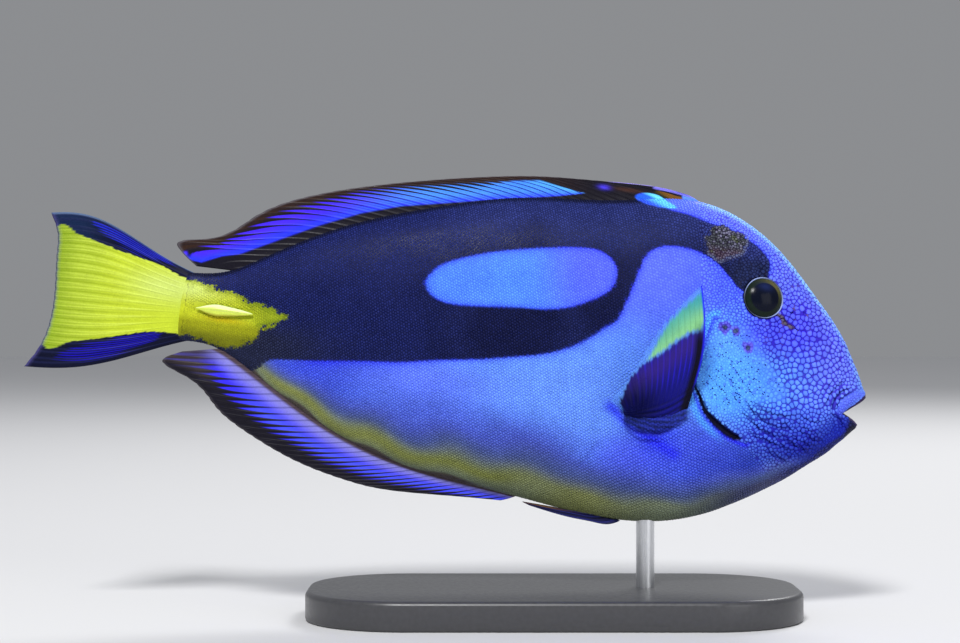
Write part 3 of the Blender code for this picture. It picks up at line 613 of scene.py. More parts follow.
def paint(x, z, chance=0.5):
    """Colour of skin and scales at a place on either flank. chance, 0 to 1, makes a scale cross a
    ragged edge."""
    colour = blue_skin(x, z)
    height = back_line(x) - z
    below_ridge = height / np.hypot(1, back_line(x + 0.5) - back_line(x - 0.5))
    colour = cheek_marks(x, z, colour, chance)
    band = layered(
        BLACK_BAND,
        (BAND_SHEEN, 1.1 * ease(height, 17, 3) + 0.2 * waves(x, z, 14, 6)),
        ((0.006, 0.010, 0.066), 0.85 * ease(x, 8, -14)),
        ((0.010, 0.013, 0.034), ease(x, -18, -45) * ease(z, 3, -6)),
        ((0.006, 0.010, 0.038), 0.9 * ease(x, 60, 66) * ease(z, 33, 29)),
    )
    dark = ease(band_by(x, z), -0.22, 0.22) * (1 - ease(oval_by(x, z), -0.22, 0.22))
    under = 1.0 + 1.3 * ease(x, 0, -18) * ease(z, 2, -3)
    near = np.exp(-np.abs(band_by(x, z)) / (0.6 * under)) + np.exp(-np.abs(oval_by(x, z)) / 0.6)
    colour = mixed(colour, (0.018, 0.020, 0.86), 0.85 * np.clip(near, 0, 1) * ease(x, -38, -30))
    # Painted shadow: a dark line along the back ridge, where the back fin stands on the body
    ridge = ease(height, 1.6, 0.6) * ease(band_by(x, z), -2.5, 0.0)
    colour = layered(
        colour,
        (band, dark),
        ((0.004, 0.005, 0.016), 0.9 * ridge),
    )
    wedge = wedge_by(x, z)
    cyan = mixed((0.04, 0.12, 0.96), (0.13, 0.62, 1.0), ease(z + 0.35 * (x - 43), 40.4, 41.8))
    colour = mixed(colour, cyan, ease(wedge, -0.15, 0.15))
    rim_light = ease(below_ridge, 1.7, 0.5) * ease(x, 52, 58) * (1 - ridge) * (1 - 0.5 * ease(x, 80, 94))
    colour = mixed(colour, (0.22, 0.52, 1.0), 0.85 * rim_light)
    # The pectoral fin's fleshy base is dark navy of its own, with arcs of painted shade in the creases
    # between its folds
    root = fin_base_by(x, z) + 0.3 * waves(x, z, 2.5, 12)
    arcs = np.sin(np.hypot(x - 50.2, (z + 1.0) * 1.25) * 4.6 + 0.8 * waves(x, z, 5, 14))
    shade = mixed((0.004, 0.006, 0.050), (0.020, 0.034, 0.36), 0.42 + 0.5 * arcs)
    colour = mixed(colour, shade, 0.97 * ease(root, -1.0, 0.7))
    # A saturated blue strip below the fin's root: painted shadow of the fin on the body
    trail = hump(gap_to(x, z, [(39.5, -8.6), (44.5, -11.8), (50, -14.6), (56, -17.5)]), 0, 1.5)
    colour = layered(
        colour,
        ((0.018, 0.016, 0.88), 0.8 * trail * ease(root, 0.6, -0.4)),
        # Painted shade in the bottoms of the folds
        ((0.010, 0.013, 0.30), 0.8 * crease_shade(x, z)),
    )
    colour = tail_yellow(x, z, colour, chance)
    scar = scar_by(x, z) + 0.4 * waves(x, z, 2.0, 5)
    colour = mixed(colour, SCAR_BROWN, 0.94 * ease(scar, -0.1, 0.3))
    # Painted highlights: pale specks on the scar's bumps, more of them towards its top
    specks = ease(chance, 0.50, 0.75) * (0.35 + 0.65 * ease(z, 31, 35))
    colour = layered(
        colour,
        ((0.050, 0.028, 0.050), 0.7 * ease(scar, 0, 0.5) * ease(z, 33.2, 31.2)),
        ((0.16, 0.16, 0.24), 0.85 * ease(scar, 0, 0.5) * specks),
        ((0.035, 0.045, 0.012), 0.8 * ease(scar, 0.2, 0.8) * ease(waves(x, z, 2.6, 11), 0.35, 0.9)),
        ((0.11, 0.13, 0.22), 0.7 * hump(scar_by(x, z), -0.15, 0.3) * ease(z - 0.6 * (x - 61), 34.5, 32.5)),
    )
    slit, _, gap = gill_slit(x, z)
    behind = ease(slit_side(x, z), 0, 0.2)
    colour = layered(
        colour,
        ((0.020, 0.014, 0.84), 0.9 * behind * hump(gap, 1.15, 0.45) * ease(x, 57.6, 58.4)),
        ((0.085, 0.40, 0.97), 0.85 * behind * hump(gap, 2.3, 0.75) * ease(x, 57.0, 58.4) * ease(x, 68, 62)),
        # Painted shadow in the gill slit
        (SLIT_SHADOW, ease(slit, 0.25, 0.6)),
    )
    gap, share, _ = path_distance(x, z, curve(EYE_GROOVE))
    colour = mixed(colour, (0.10, 0.085, 0.045), 0.9 * ease(gap, 0.75, 0.3) * ease(share, 1.0, 0.8))
    lip = ease(x, 95.8, 97.3) * ease(z, -2.6, -3.7) * ease(z, -9.2, -7.4)
    colour = mixed(colour, (0.006, 0.007, 0.022), 0.95 * lip)
    pale_edge = gap_to(x, z, [(95.2, -2.2), (97.3, -2.4), (99.3, -3.9)])
    colour = mixed(colour, (0.16, 0.18, 0.50), 0.75 * hump(pale_edge, 0, 0.28))
    upper_lip = gap_to(x, z, [(94.6, -1.6), (95.3, 0.0), (96.9, 1.7), (99.6, 3.0)])
    return mixed(colour, (0.090, 0.115, 0.90), 0.75 * hump(upper_lip, 0, 1.0))


def slit_side(x, z):
    """Distance behind the gill edge, 0 ahead of it."""
    gap, _, side = path_distance(x, z, gill_path)
    return gap * (side < 0)


def cheek_marks(x, z, colour, chance):
    """The cheek's darker scales and violet spots."""
    flecked = ease(cheek_by(x, z), -1.0, 1.0) * ease(np.asarray(chance), 0.90, 0.93)
    colour = mixed(colour, (0.020, 0.050, 0.60), 0.7 * flecked)
    for sx, sz, reach in ((63.4, 13.7, 1.75), (65.9, 13.1, 1.3), (69.5, 10.0, 1.55)):
        spot = np.hypot((x - sx) * 0.9, z - sz) + 0.3 * waves(x, z, 2.4, 7)
        colour = layered(
            colour,
            ((0.085, 0.040, 0.60), 0.9 * ease(spot, reach, reach - 0.5)),
            ((0.022, 0.045, 0.050), 0.9 * ease(spot, 0.7, 0.3)),
        )
    return colour


def tail_yellow(x, z, colour, chance):
    """The yellow of the tail stock, ragged along its edge."""
    yellow = yellow_by(x, z) + (chance - 0.5) * 1.1 + 0.5 * waves(x, z, 2.2, 9)
    lemon = layered(
        LEMON,
        (PALE_LEMON, 0.9 * hump(z, 4.2, 2.4) * hump(x, -65, 9)),
        (LIME, 0.8 * ease(x, -54, -43) + 0.6 * ease(yellow, 1.8, 0.2)),
        # Beneath the blades the yellow darkens, with an orange streak: painted shadow under the blades,
        # deepening towards the bottom of the stock
        ((0.26, 0.27, 0.006), 0.8 * ease(z, -1.6, -3.6)),
        ((0.12, 0.13, 0.006), 0.7 * ease(z, -3.8, -6.8)),
        ((0.46, 0.34, 0.003), 0.75 * hump(z, -2.0, 0.8) * hump(x, -54.5, 5)),
        ((0.05, 0.06, 0.010), 0.75 * ease(chance, 0.72, 0.88) * ease(yellow, 2.4, 0.2)),
    )
    return mixed(colour, lemon, ease(yellow, -0.1, 0.15))


TRUNK_PITCH = 0.68


def scale_form(x, z):
    """Pitch of the scales in mm, and how high they stand."""
    total = np.full(x.shape, 0.6)
    pitch, high = total * TRUNK_PITCH, total * 0.12
    patches = (
        (84, 11, 7, 8, 9, 1.50, 0.26), (86, 3, 7, 4, 6, 1.45, 0.28), (79, 28, 7, 7, 4, 1.10, 0.17),
        (68, 37, 6, 5, 4, 0.75, 0.12), (70, 14, 4, 3, 3, 0.90, 0.13), (68, 3, 7, 6, 6, 0.68, 0.05),
        (82, -3, 6, 4, 4, 1.15, 0.25), (84, -10, 8, 5, 4, 0.95, 0.22), (95, 4, 3, 4, 5, 0.85, 0.15),
        (66, 28, 5, 4, 4, 0.70, 0.08), (91, 15, 5, 6, 4, 1.25, 0.20),
        (46, 20, 8, 12, 2.5, TRUNK_PITCH, 0.07), (52, -14, 10, 8, 2.0, 0.80, 0.16),
        (30, -12, 12, 9, 1.0, 0.72, 0.13), (61.5, 33.6, 3.6, 3.2, 30, 0.55, 0.15),
        (94, -7, 4, 4, 4, 0.80, 0.13),
    )
    for px, pz, reach_x, reach_z, strength, size, rise in patches:
        weight = strength * hump(x, px, reach_x) * hump(z, pz, reach_z)
        total, pitch, high = total + weight, pitch + weight * size, high + weight * rise
    pitch, high = pitch / total, high / total
    pitch = pitch * (1 - 0.12 * ease(x, -25, -55))
    high = high * (1 - 0.55 * ease(yellow_by(x, z), -0.5, 1.0)) * (1 - 0.55 * ease(z - belly_line(x), 7, 3))
    high = high * (1 - ease(x, -59.5, -64.0))
    high = high * (1 - 0.8 * ease(fin_base_by(x, z), -0.8, 0.6))
    lips = ease(lips_by(x, z), -0.4, 0.3)
    high = high * (1 - 0.85 * lips)
    pitch = pitch * (1 - 0.40 * lips)
    return pitch, high * (1 - 0.75 * ease(cheek_by(x, z), -0.8, 0.8))


# Meshes


def read_points(piece):
    flat = np.empty(len(piece.data.vertices) * 3)
    piece.data.vertices.foreach_get("co", flat)
    return flat.reshape(-1, 3)


def attribute(mesh, name, values, kind="FLOAT"):
    values = np.ascontiguousarray(values, dtype=np.float32)
    key = "value"
    if kind == "FLOAT_COLOR":
        values = np.column_stack([values, np.ones(len(values), np.float32)])
        key = "color"
    mesh.attributes.new(name, kind, "POINT").data.foreach_set(key, values.ravel())


def closed_form(name, rings, uv=None, placed=to_scene, **values):
    """A closed surface over rings of places in mm. Each ring's last place is its first, and the end rings
    are closed: a ring drawn to one place or one line seals by itself. values are attributes of the places."""
    rows, columns = rings.shape[:2]
    bpy.ops.mesh.primitive_grid_add(x_subdivisions=columns - 1, y_subdivisions=rows - 1, size=2)
    piece = bpy.context.object
    piece.name = piece.data.name = name
    flat = read_points(piece)
    j = np.rint((flat[:, 0] + 1) / 2 * (columns - 1)).astype(int)
    i = np.rint((flat[:, 1] + 1) / 2 * (rows - 1)).astype(int)
    piece.data.vertices.foreach_set("co", placed(rings[i, j]).ravel())
    for key, value in values.items():
        attribute(piece.data, key, value[i, j], "FLOAT_COLOR" if value.ndim == 3 else "FLOAT")
    if uv is not None:
        layer = piece.data.uv_layers[0]
        layer.name = "OFBake"
        corner = np.empty(len(piece.data.loops), int)
        piece.data.loops.foreach_get("vertex_index", corner)
        layer.data.foreach_set("uv", uv[i[corner], j[corner]].ravel())
    tidy(piece)
    piece.select_set(False)
    return piece


def tidy(piece, merge=2e-6):
    """Merges places that lie on one another, turns the faces outwards and shades them smooth."""
    work = bmesh.new()
    work.from_mesh(piece.data)
    bmesh.ops.remove_doubles(work, verts=work.verts, dist=merge)
    bmesh.ops.dissolve_degenerate(work, dist=1e-7, edges=work.edges)
    open_edges = [e for e in work.edges if e.is_boundary]
    if open_edges:
        bmesh.ops.holes_fill(work, edges=open_edges, sides=0)
    bmesh.ops.recalc_face_normals(work, faces=work.faces)
    if work.calc_volume(signed=True) < 0:
        bmesh.ops.reverse_faces(work, faces=work.faces)
    work.to_mesh(piece.data)
    work.free()
    piece.data.shade_smooth()


def finish(piece, slot, look, *nodes):
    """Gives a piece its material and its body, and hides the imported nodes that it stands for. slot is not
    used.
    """
    piece.data.materials.clear()
    piece.data.materials.append(look)
    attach(piece, "root")
    if nodes:
        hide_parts(*nodes)
    return piece


# Materials


def node_group(name, inputs, outputs):
    """A shader node group with named sockets, its own nodes still to come."""
    group = bpy.data.node_groups.new(name, "ShaderNodeTree")
    for label, kind, value in inputs:
        socket = group.interface.new_socket(label, in_out="INPUT", socket_type=kind)
        if value is not None:
            socket.default_value = value
    for label, kind in outputs:
        group.interface.new_socket(label, in_out="OUTPUT", socket_type=kind)
    return group, group.nodes.new("NodeGroupInput"), group.nodes.new("NodeGroupOutput")


def add_node(tree, kind, links=(), **settings):
    """A node with settings. links are (input, source), where the source is a socket or a plain value."""
    made = tree.nodes.new(kind)
    for key, value in settings.items():
        setattr(made, key, value)
    for key, source in links:
        if hasattr(source, "links"):
            tree.links.new(source, made.inputs[key])
        else:
            made.inputs[key].default_value = source
    return made


def new_look(name):
    """A material, its node tree and its shader."""
    look = bpy.data.materials.new(name)
    look.use_nodes = True
    return look, look.node_tree, look.node_tree.nodes["Principled BSDF"]


def mix(tree, kind, factor, a, b):
    links = [(0, factor), (6, a), (7, b)]
    return add_node(tree, "ShaderNodeMix", links, data_type="RGBA", blend_type=kind).outputs[2]


def calculate(tree, operation, a, b):
    return add_node(tree, "ShaderNodeMath", [(0, a), (1, b)], operation=operation).outputs[0]


def remap(tree, value, low, high, to_low, to_high):
    links = [("Value", value), ("From Min", low), ("From Max", high), ("To Min", to_low), ("To Max", to_high)]
    return add_node(tree, "ShaderNodeMapRange", links).outputs["Result"]


def noise(tree, vector, scale, detail=3.0, roughness=0.55):
    links = [("Vector", vector), ("Scale", scale), ("Detail", detail), ("Roughness", roughness)]
    return add_node(tree, "ShaderNodeTexNoise", links).outputs["Fac"]


def mottle_group():
    """Uneven tone over a living surface: a colour in, the same colour with fine and broad variation out."""
    group, start, end = node_group(
        "uneven_tone",
        [("Colour", "NodeSocketColor", (1, 1, 1, 1)), ("Amount", "NodeSocketFloat", 0.3),
         ("Gloss", "NodeSocketFloat", 0.4)],
        [("Colour", "NodeSocketColor"), ("Roughness", "NodeSocketFloat"), ("Height", "NodeSocketFloat")],
    )
    place = add_node(group, "ShaderNodeTexCoord").outputs["Object"]
    fine = noise(group, place, 2600.0, 2.0)
    broad = noise(group, place, 160.0, 3.0)
    both = calculate(group, "ADD", fine, broad)
    swing = remap(group, both, 0.7, 1.3, -1.0, 1.0)
    swing = calculate(group, "MULTIPLY", swing, start.outputs["Amount"])
    value = calculate(group, "ADD", swing, 1.0)
    tone = add_node(group, "ShaderNodeHueSaturation", [("Color", start.outputs["Colour"]), ("Value", value)])
    rough = calculate(group, "ADD", swing, start.outputs["Gloss"])
    group.links.new(tone.outputs["Color"], end.inputs["Colour"])
    group.links.new(rough, end.inputs["Roughness"])
    group.links.new(fine, end.inputs["Height"])
    return group


UNEVEN = mottle_group()
BUMP_DEPTH = 0.08 * MM


def painted_look(name, amount, gloss, bump, edge=None, clear=False, shine=0.2):
    """A material that takes its colour from the piece's paint. edge is the tint at the rim of each scale:
    painted shade where the scale drops into the gaps.
    """
    look, tree, shader = new_look(name)
    colour = add_node(tree, "ShaderNodeAttribute", attribute_name="paint").outputs["Color"]
    if edge is not None:
        rim = add_node(tree, "ShaderNodeAttribute", attribute_name="rim").outputs["Fac"]
        dark = mix(tree, "MULTIPLY", 1.0, colour, (*edge, 1))
        colour = mix(tree, "MIX", rim, colour, dark)
    links = [("Colour", colour), ("Amount", amount), ("Gloss", gloss)]
    uneven = add_node(tree, "ShaderNodeGroup", links, node_tree=UNEVEN)
    tree.links.new(uneven.outputs["Colour"], shader.inputs["Base Color"])
    tree.links.new(uneven.outputs["Roughness"], shader.inputs["Roughness"])
    links = [("Height", uneven.outputs["Height"]), ("Strength", bump), ("Distance", BUMP_DEPTH)]
    lump = add_node(tree, "ShaderNodeBump", links)
    tree.links.new(lump.outputs["Normal"], shader.inputs["Normal"])
    shader.inputs["Specular IOR Level"].default_value = shine
    if clear:
        solid = add_node(tree, "ShaderNodeAttribute", attribute_name="solid").outputs["Fac"]
        tree.links.new(solid, shader.inputs["Alpha"])
    return look


# Skin


def make_skin():
    place = ring + bare_normals * (relief(ring) - SKIN_DEPTH)[..., None]
    place[-2:] = ring[-2:]
    place[0] = ring[0]
    place[:, (0, -1, HALF_COLUMNS), 1] = 0
    x, z = place[..., 0], place[..., 2]
    colour = paint(x, z)
    _, high = scale_form(x, z)
    head = on_head(x, z)[..., None]
    # Painted shade: the skin between the scales is darker and more saturated
    gap_shade = ease(high, 0.02, 0.2)[..., None] * np.where(head, (0.60, 0.80, 0.45), (0.42, 0.45, 0.22))
    # Painted shade: the mouth's inside is near black
    inside = skin_rows[:, None] > MOUTH_INSIDE
    colour = np.where(inside[..., None], np.array((0.030, 0.018, 0.08)), colour * (1 - gap_shade))
    dots = ease(waves(x, z, 2.2, 31), 0.55, 0.95) * hump(x, 79, 7) * hump(z, 19, 9) * head[..., 0]
    colour = mixed(colour, (0.13, 0.085, 0.06), 0.85 * dots)
    around = np.linspace(0, 2, 2 * HALF_COLUMNS + 1)
    along, around = np.meshgrid(skin_rows, around, indexing="ij")
    uv = unwrap(along.ravel(), around.ravel()).reshape(*along.shape, 2)
    skin = closed_form("skin", place, uv, paint=colour)
    look = painted_look("bare_skin", 0.16, 0.42, 0.25, shine=0.08)
    finish(skin, "blue_skin", look, "head", "trunk", "tail_stock")


# Scales

ROW_LEAN = 40.0
ROW_PITCH = 0.95
SCALE_SIDES = 6
PEBBLE_SIDES = 11


def trunk_roots(draw):
    """Roots of the body's scales in slanting rows, which rise towards the head, on both flanks."""
    stations = np.linspace(-64.0, 86.0, 460)
    pitch = TRUNK_PITCH * (1 - 0.12 * ease(stations, -25, -55)) * (1 + 0.14 * hump(stations, 54, 12))
    warped = np.concatenate([[0], np.cumsum(np.diff(stations) / ((pitch[1:] + pitch[:-1]) / 2))])
    lean = math.radians(ROW_LEAN)
    step_along = np.array((math.cos(lean), math.sin(lean))) * 0.94
    step_across = np.array((-math.sin(lean), math.cos(lean))) * ROW_PITCH
    reach = 250
    m, n = np.meshgrid(np.arange(-reach, reach), np.arange(-reach, reach), indexing="ij")
    m, n = m.ravel(), n.ravel()
    flat = (m + 0.5 * (n % 2))[:, None] * step_along + n[:, None] * step_across
    middle = warped[-1] / 2
    found = []
    for side in (0, 1):
        spots = flat + draw.uniform(-0.15, 0.15, flat.shape)
        spots = spots[np.abs(spots[:, 0]) < middle]
        along = np.interp(spots[:, 0] + middle, warped, stations)
        size = np.interp(along, stations, pitch)
        length = np.interp(along, skin_rows, skin_lengths)
        share = 0.5 - spots[:, 1] * size / length
        kept = (share > 0.004) & (share < 0.996)
        along, share = along[kept], share[kept]
        found.append(np.column_stack([along, share if side == 0 else 2 - share]))
    return np.vstack(found)


def head_roots(draw):
    """Roots of the head's pebble-like scales, as far apart as the place asks."""
    tries = 90_000
    along = draw.uniform(54.0, 101.4, tries)
    around = draw.uniform(0.0, 2.0, tries)
    length = np.interp(along, skin_rows, skin_lengths)
    kept = draw.uniform(0, 80, tries) < length
    along, around = along[kept], around[kept]
    places, _ = on_skin(along, around)
    pitch, _ = scale_form(places[:, 0], places[:, 2])
    apart = 0.86 * pitch * draw.uniform(0.72, 1.05, len(pitch))
    cell_size = 2.0
    cells = np.floor(places / cell_size).astype(int)
    steps = [(a, b, c) for a in (-1, 0, 1) for b in (-1, 0, 1) for c in (-1, 0, 1)]
    grid, chosen = {}, []
    for i, (cx, cy, cz) in enumerate(cells.tolist()):
        near = [k for a, b, c in steps for k in grid.get((cx + a, cy + b, cz + c), ())]
        if near:
            gap = np.linalg.norm(places[near] - places[i], axis=1)
            if (gap < (apart[i] + apart[near]) / 2).any():
                continue
        grid.setdefault((cx, cy, cz), []).append(i)
        chosen.append(i)
    return np.column_stack([along[chosen], around[chosen]])


# Rear edge of the head's scales, as (z, x)
HEAD_EDGE = [
    (-40, 92), (-27, 83.6), (-19, 78.8), (-12.8, 72.4), (-8.3, 64.2), (-2.8, 59.9), (0.3, 58.1),
    (10, 58.3), (40, 54), (50, 51),
]


def on_head(x, z):
    """True ahead of the gill opening and the nape."""
    return x > border(z, HEAD_EDGE)


# Where the blades leave the tail stock without scales: rear and front x, and half the height
BLADE_BARE = (-62.0, -47.5, 1.5)


def scale_roots():
    """Every scale's root as (length along, turn around), cleared from the eyes, slit, nostrils and blades."""
    draw = np.random.default_rng(20)
    trunk, head = trunk_roots(draw), head_roots(draw)
    found = []
    for roots, wanted in ((trunk, False), (head, True)):
        place, _ = on_skin(*roots.T)
        found.append(roots[on_head(place[:, 0], place[:, 2]) == wanted])
    roots = np.vstack(found)
    place, _ = on_skin(*roots.T)
    x, z = place[:, 0], place[:, 2]
    kept = eye_radius_of(place) > EYE_RIM + 0.45
    kept &= gill_slit(x, z)[0] < 0.3
    for (nx, nz), radius in NOSTRILS:
        kept &= np.hypot(x - nx, z - nz) > radius * 1.25
    rear, front, half_height = BLADE_BARE
    kept &= ~((np.abs(z) < half_height) & (x < front) & (x > rear))
    return roots[kept]


def neighbours(places, count):
    tree = kdtree.KDTree(len(places))
    for i, place in enumerate(places):
        tree.insert(place, i)
    tree.balance()
    return np.array([[i for _, i, _ in tree.find_n(place, count + 1)][1:] for place in places])


def make_scales():
    roots = scale_roots()
    bare, normal = on_skin(*roots.T)
    place = bare + normal * (relief(bare) - SKIN_DEPTH)[:, None]
    draw = np.random.default_rng(7)
    chance = draw.uniform(0, 1, len(place))
    pitch, high = scale_form(place[:, 0], place[:, 2])
    high = high * draw.uniform(0.75, 1.25, len(place))
    tail_ward = unit(np.cross(normal, np.cross(np.array((-1.0, 0, 0)), normal)))
    across = np.cross(normal, tail_ward)
    near = neighbours(place, 9)
    off = place[near] - place[:, None]
    flat = np.stack([np.sum(off * tail_ward[:, None], 2), np.sum(off * across[:, None], 2)], axis=-1)
    gap, bearing = np.linalg.norm(flat, axis=2), np.arctan2(flat[..., 1], flat[..., 0])
    head = on_head(place[:, 0], place[:, 2])
    right = roots[:, 1] < 1
    pebble = ((1.0, -0.5, 1.0), (0.88, 0.50, 0.40), (0.55, 0.90, 0.0))
    scale = ((1.0, -0.5, 1.0), (0.70, 0.78, 0.30))
    parts = [(head, "head", PEBBLE_SIDES, pebble)]
    for low, high_x, name in ((-80, -14, "rear"), (-14, 20, "middle"), (20, 110, "front")):
        parts.append((~head & (place[:, 0] >= low) & (place[:, 0] < high_x), name, SCALE_SIDES, scale))
    for wanted, name, sides, levels, flank in (
        (*part, flank) for part in parts for flank in ("right", "left")
    ):
        chosen = wanted & (right if flank == "right" else ~right)
        angles = FULL_TURN * (np.arange(sides) + 0.5) / sides
        toward = np.cos(angles[None, :, None] - bearing[chosen][:, None, :])
        reach = np.where(toward > 0.25, gap[chosen][:, None, :] / 2 / np.maximum(toward, 0.25), 9).min(axis=2)
        limit = 1.14 if sides == PEBBLE_SIDES else 1.15
        reach = np.minimum(reach, limit * np.median(reach, axis=1, keepdims=True))
        reach = np.minimum(reach, 0.75 * pitch[chosen][:, None]) * (0.985 if sides == PEBBLE_SIDES else 0.96)
        build_scales(
            f"scales_{name}_{flank}", roots[chosen], place[chosen], normal[chosen], tail_ward[chosen],
            across[chosen], angles, reach, high[chosen], chance[chosen], levels,
        )


def build_scales(
    name, roots, place, normal, tail_ward, across, angles, reach, high, chance, levels, shade_colour=None,
):
    """Joined domes, one on each root. levels are (share of the reach, share of the height, rim tint), the rim
    tint being painted shade at the dome's edge. Their one colour, where given last, is painted shade and
    takes the skin's place."""
    count, sides, rings = len(place), len(angles), len(levels)
    out = np.cos(angles)[None, :, None] * tail_ward[:, None] + np.sin(angles)[None, :, None] * across[:, None]
    layers, flats, rims = [], [], []
    free_edge = np.cos(angles) if sides == SCALE_SIDES else 0 * angles
    for spread, rise, rim in levels:
        lift = high[:, None] * rise * (1 + 0.35 * free_edge * (rise > 0))
        layers.append(place[:, None] + out * (reach * spread)[..., None] + normal[:, None] * lift[..., None])
        flats.append(np.stack([np.cos(angles) * reach, np.sin(angles) * reach], axis=-1) * spread)
        # The rim tint is painted shade at each dome's edge, deepest under the raised free edge of the body's
        # scales
        rims.append(np.tile(rim * (1 + 0.6 * free_edge) / (1.6 if sides == SCALE_SIDES else 1), (count, 1)))
    layers.append((place + normal * high[:, None])[:, None])
    flats.append(np.zeros((count, 1, 2)))
    rims.append(np.zeros((count, 1)))
    points = np.concatenate(layers, axis=1)
    flat = np.concatenate(flats, axis=1)
    rim = np.concatenate(rims, axis=1)
    each = points.shape[1]
    k = np.arange(sides)
    n = (k + 1) % sides
    faces = []
    for level in range(rings - 1):
        a, b = level * sides, (level + 1) * sides
        faces += [np.stack([a + k, a + n, b + n], 1), np.stack([a + k, b + n, b + k], 1)]
    last = (rings - 1) * sides
    faces.append(np.stack([last + k, last + n, np.full(sides, each - 1)], 1))
    inner = np.arange(1, sides - 1)
    faces.append(np.stack([np.zeros(sides - 2, int), inner + 1, inner], 1))
    one = np.concatenate(faces)
    faces = (one[None] + (np.arange(count) * each)[:, None, None]).reshape(-1, 3)
    points = points.reshape(-1, 3)
    mesh = bpy.data.meshes.new(name)
    mesh.from_pydata(to_scene(points), [], faces)
    piece = bpy.data.objects.new(name, mesh)
    bpy.context.scene.collection.objects.link(piece)
    centre = np.repeat(place, each, axis=0)
    at = centre + (points - centre) * 0.6
    luck = np.repeat(chance, each)
    tint = paint(at[:, 0], at[:, 2], luck) * (0.92 + 0.16 * luck)[:, None]
    # Painted highlight: each scale is painted lighter towards its middle, dark colours lifted most
    gain = 1.10 + 1.5 * ease(tint[:, 2], 0.3, 0.08) * ease(tint[:, 0], 0.1, 0.03)
    highlight_tint = (0.04, 0.095, 0.04) if sides == PEBBLE_SIDES else (0.025, 0.05, 0.02)
    light = np.minimum(tint * gain[:, None] + np.array(highlight_tint) * ease(tint[:, 2:], 0.3, 0.7), 1)
    tint = mixed(tint, light, 0.8 * (1 - rim.ravel()) * (0.4 + 0.6 * luck))
    if shade_colour is not None:
        tint = np.array(shade_colour) * (0.5 + luck)[:, None]
    attribute(mesh, "paint", tint, "FLOAT_COLOR")
    attribute(mesh, "rim", rim.ravel())
    widest = reach.max(axis=1)[:, None, None]
    patch = unwrap(*roots.T)[:, None] + flat / widest * 0.0015 * np.array((-1, 1))
    patch = patch.reshape(-1, 2)
    corner = np.empty(len(mesh.loops), int)
    mesh.loops.foreach_get("vertex_index", corner)
    uv = patch[corner].reshape(count, len(one), 3, 2)
    uv[:, -(sides - 2):] = unwrap(*roots.T)[:, None, None] + 0.0015
    mesh.uv_layers.new(name="OFBake").data.foreach_set("uv", uv.ravel())
    mesh.shade_smooth()
    finish(piece, "blue_skin", PEBBLE_LOOK if sides == PEBBLE_SIDES else SCALE_LOOK)


def cheek_dot_places(draw):
    """Where the cheek's dark dots lie, as (x, z): strung along their rows, with strays between."""
    found = []
    for path in PRICKS:
        line = curve(path, steps=12)
        length = np.concatenate([[0], np.cumsum(np.linalg.norm(np.diff(line, axis=0), axis=1))])
        count = int(length[-1] / 0.62)
        at = (np.arange(count) + 0.5 + draw.uniform(-0.3, 0.3, count)) / count * length[-1]
        row = np.column_stack([np.interp(at, length, line[:, 0]), np.interp(at, length, line[:, 1])])
        found.append(row + draw.uniform(-0.16, 0.16, row.shape))
    strays = draw.uniform((60.0, -6.0), (80.0, 13.5), (420, 2))
    inside = ease(cheek_by(*strays.T), -0.5, 2.5)
    found.append(strays[draw.uniform(0, 1, len(strays)) < 0.45 * inside])
    return np.vstack(found)


def make_cheek_dots():
    draw = np.random.default_rng(43)
    spots = cheek_dot_places(draw)
    for side, flank in ((0, "right"), (1, "left")):
        along = spots[:, 0]
        row = np.interp(along, skin_rows, np.arange(len(skin_rows))).astype(int)
        turn_at = np.linspace(0, 1, HALF_COLUMNS + 1)
        share = np.array([np.interp(-z, -half[i, :, 2], turn_at) for i, z in zip(row, spots[:, 1])])
        roots = np.column_stack([along, share if side == 0 else 2 - share])
        bare, normal = on_skin(*roots.T)
        place = bare + normal * (relief(bare) - SKIN_DEPTH + 0.045)[:, None]
        tail_ward = unit(np.cross(normal, np.cross(np.array((-1.0, 0, 0.35)), normal)))
        across = np.cross(normal, tail_ward)
        angles = FULL_TURN * (np.arange(SCALE_SIDES) + 0.5) / SCALE_SIDES
        size = draw.uniform(0.07, 0.17, (len(spots), 1))
        reach = size * (1 + 0.6 * np.abs(np.cos(angles))[None])
        # The dots take one dark colour: painted shade of the cheek's small pits
        build_scales(
            "cheek_dots_" + flank, roots, place, normal, tail_ward, across, angles, reach,
            np.full(len(spots), 0.07), draw.uniform(0, 1, len(spots)), ((1.0, -0.5, 0.0), (0.7, 0.8, 0.0)),
            (0.010, 0.022, 0.30),
        )


# edge: painted shade at the rim of each scale
SCALE_LOOK = painted_look("scale_skin", 0.14, 0.42, 0.15, edge=(0.32, 0.27, 0.66), shine=0.08)
PEBBLE_LOOK = painted_look("pebble_skin", 0.14, 0.42, 0.15, edge=(0.36, 0.20, 0.66), shine=0.08)

make_skin()
make_scales()
make_cheek_dots()

# Fins

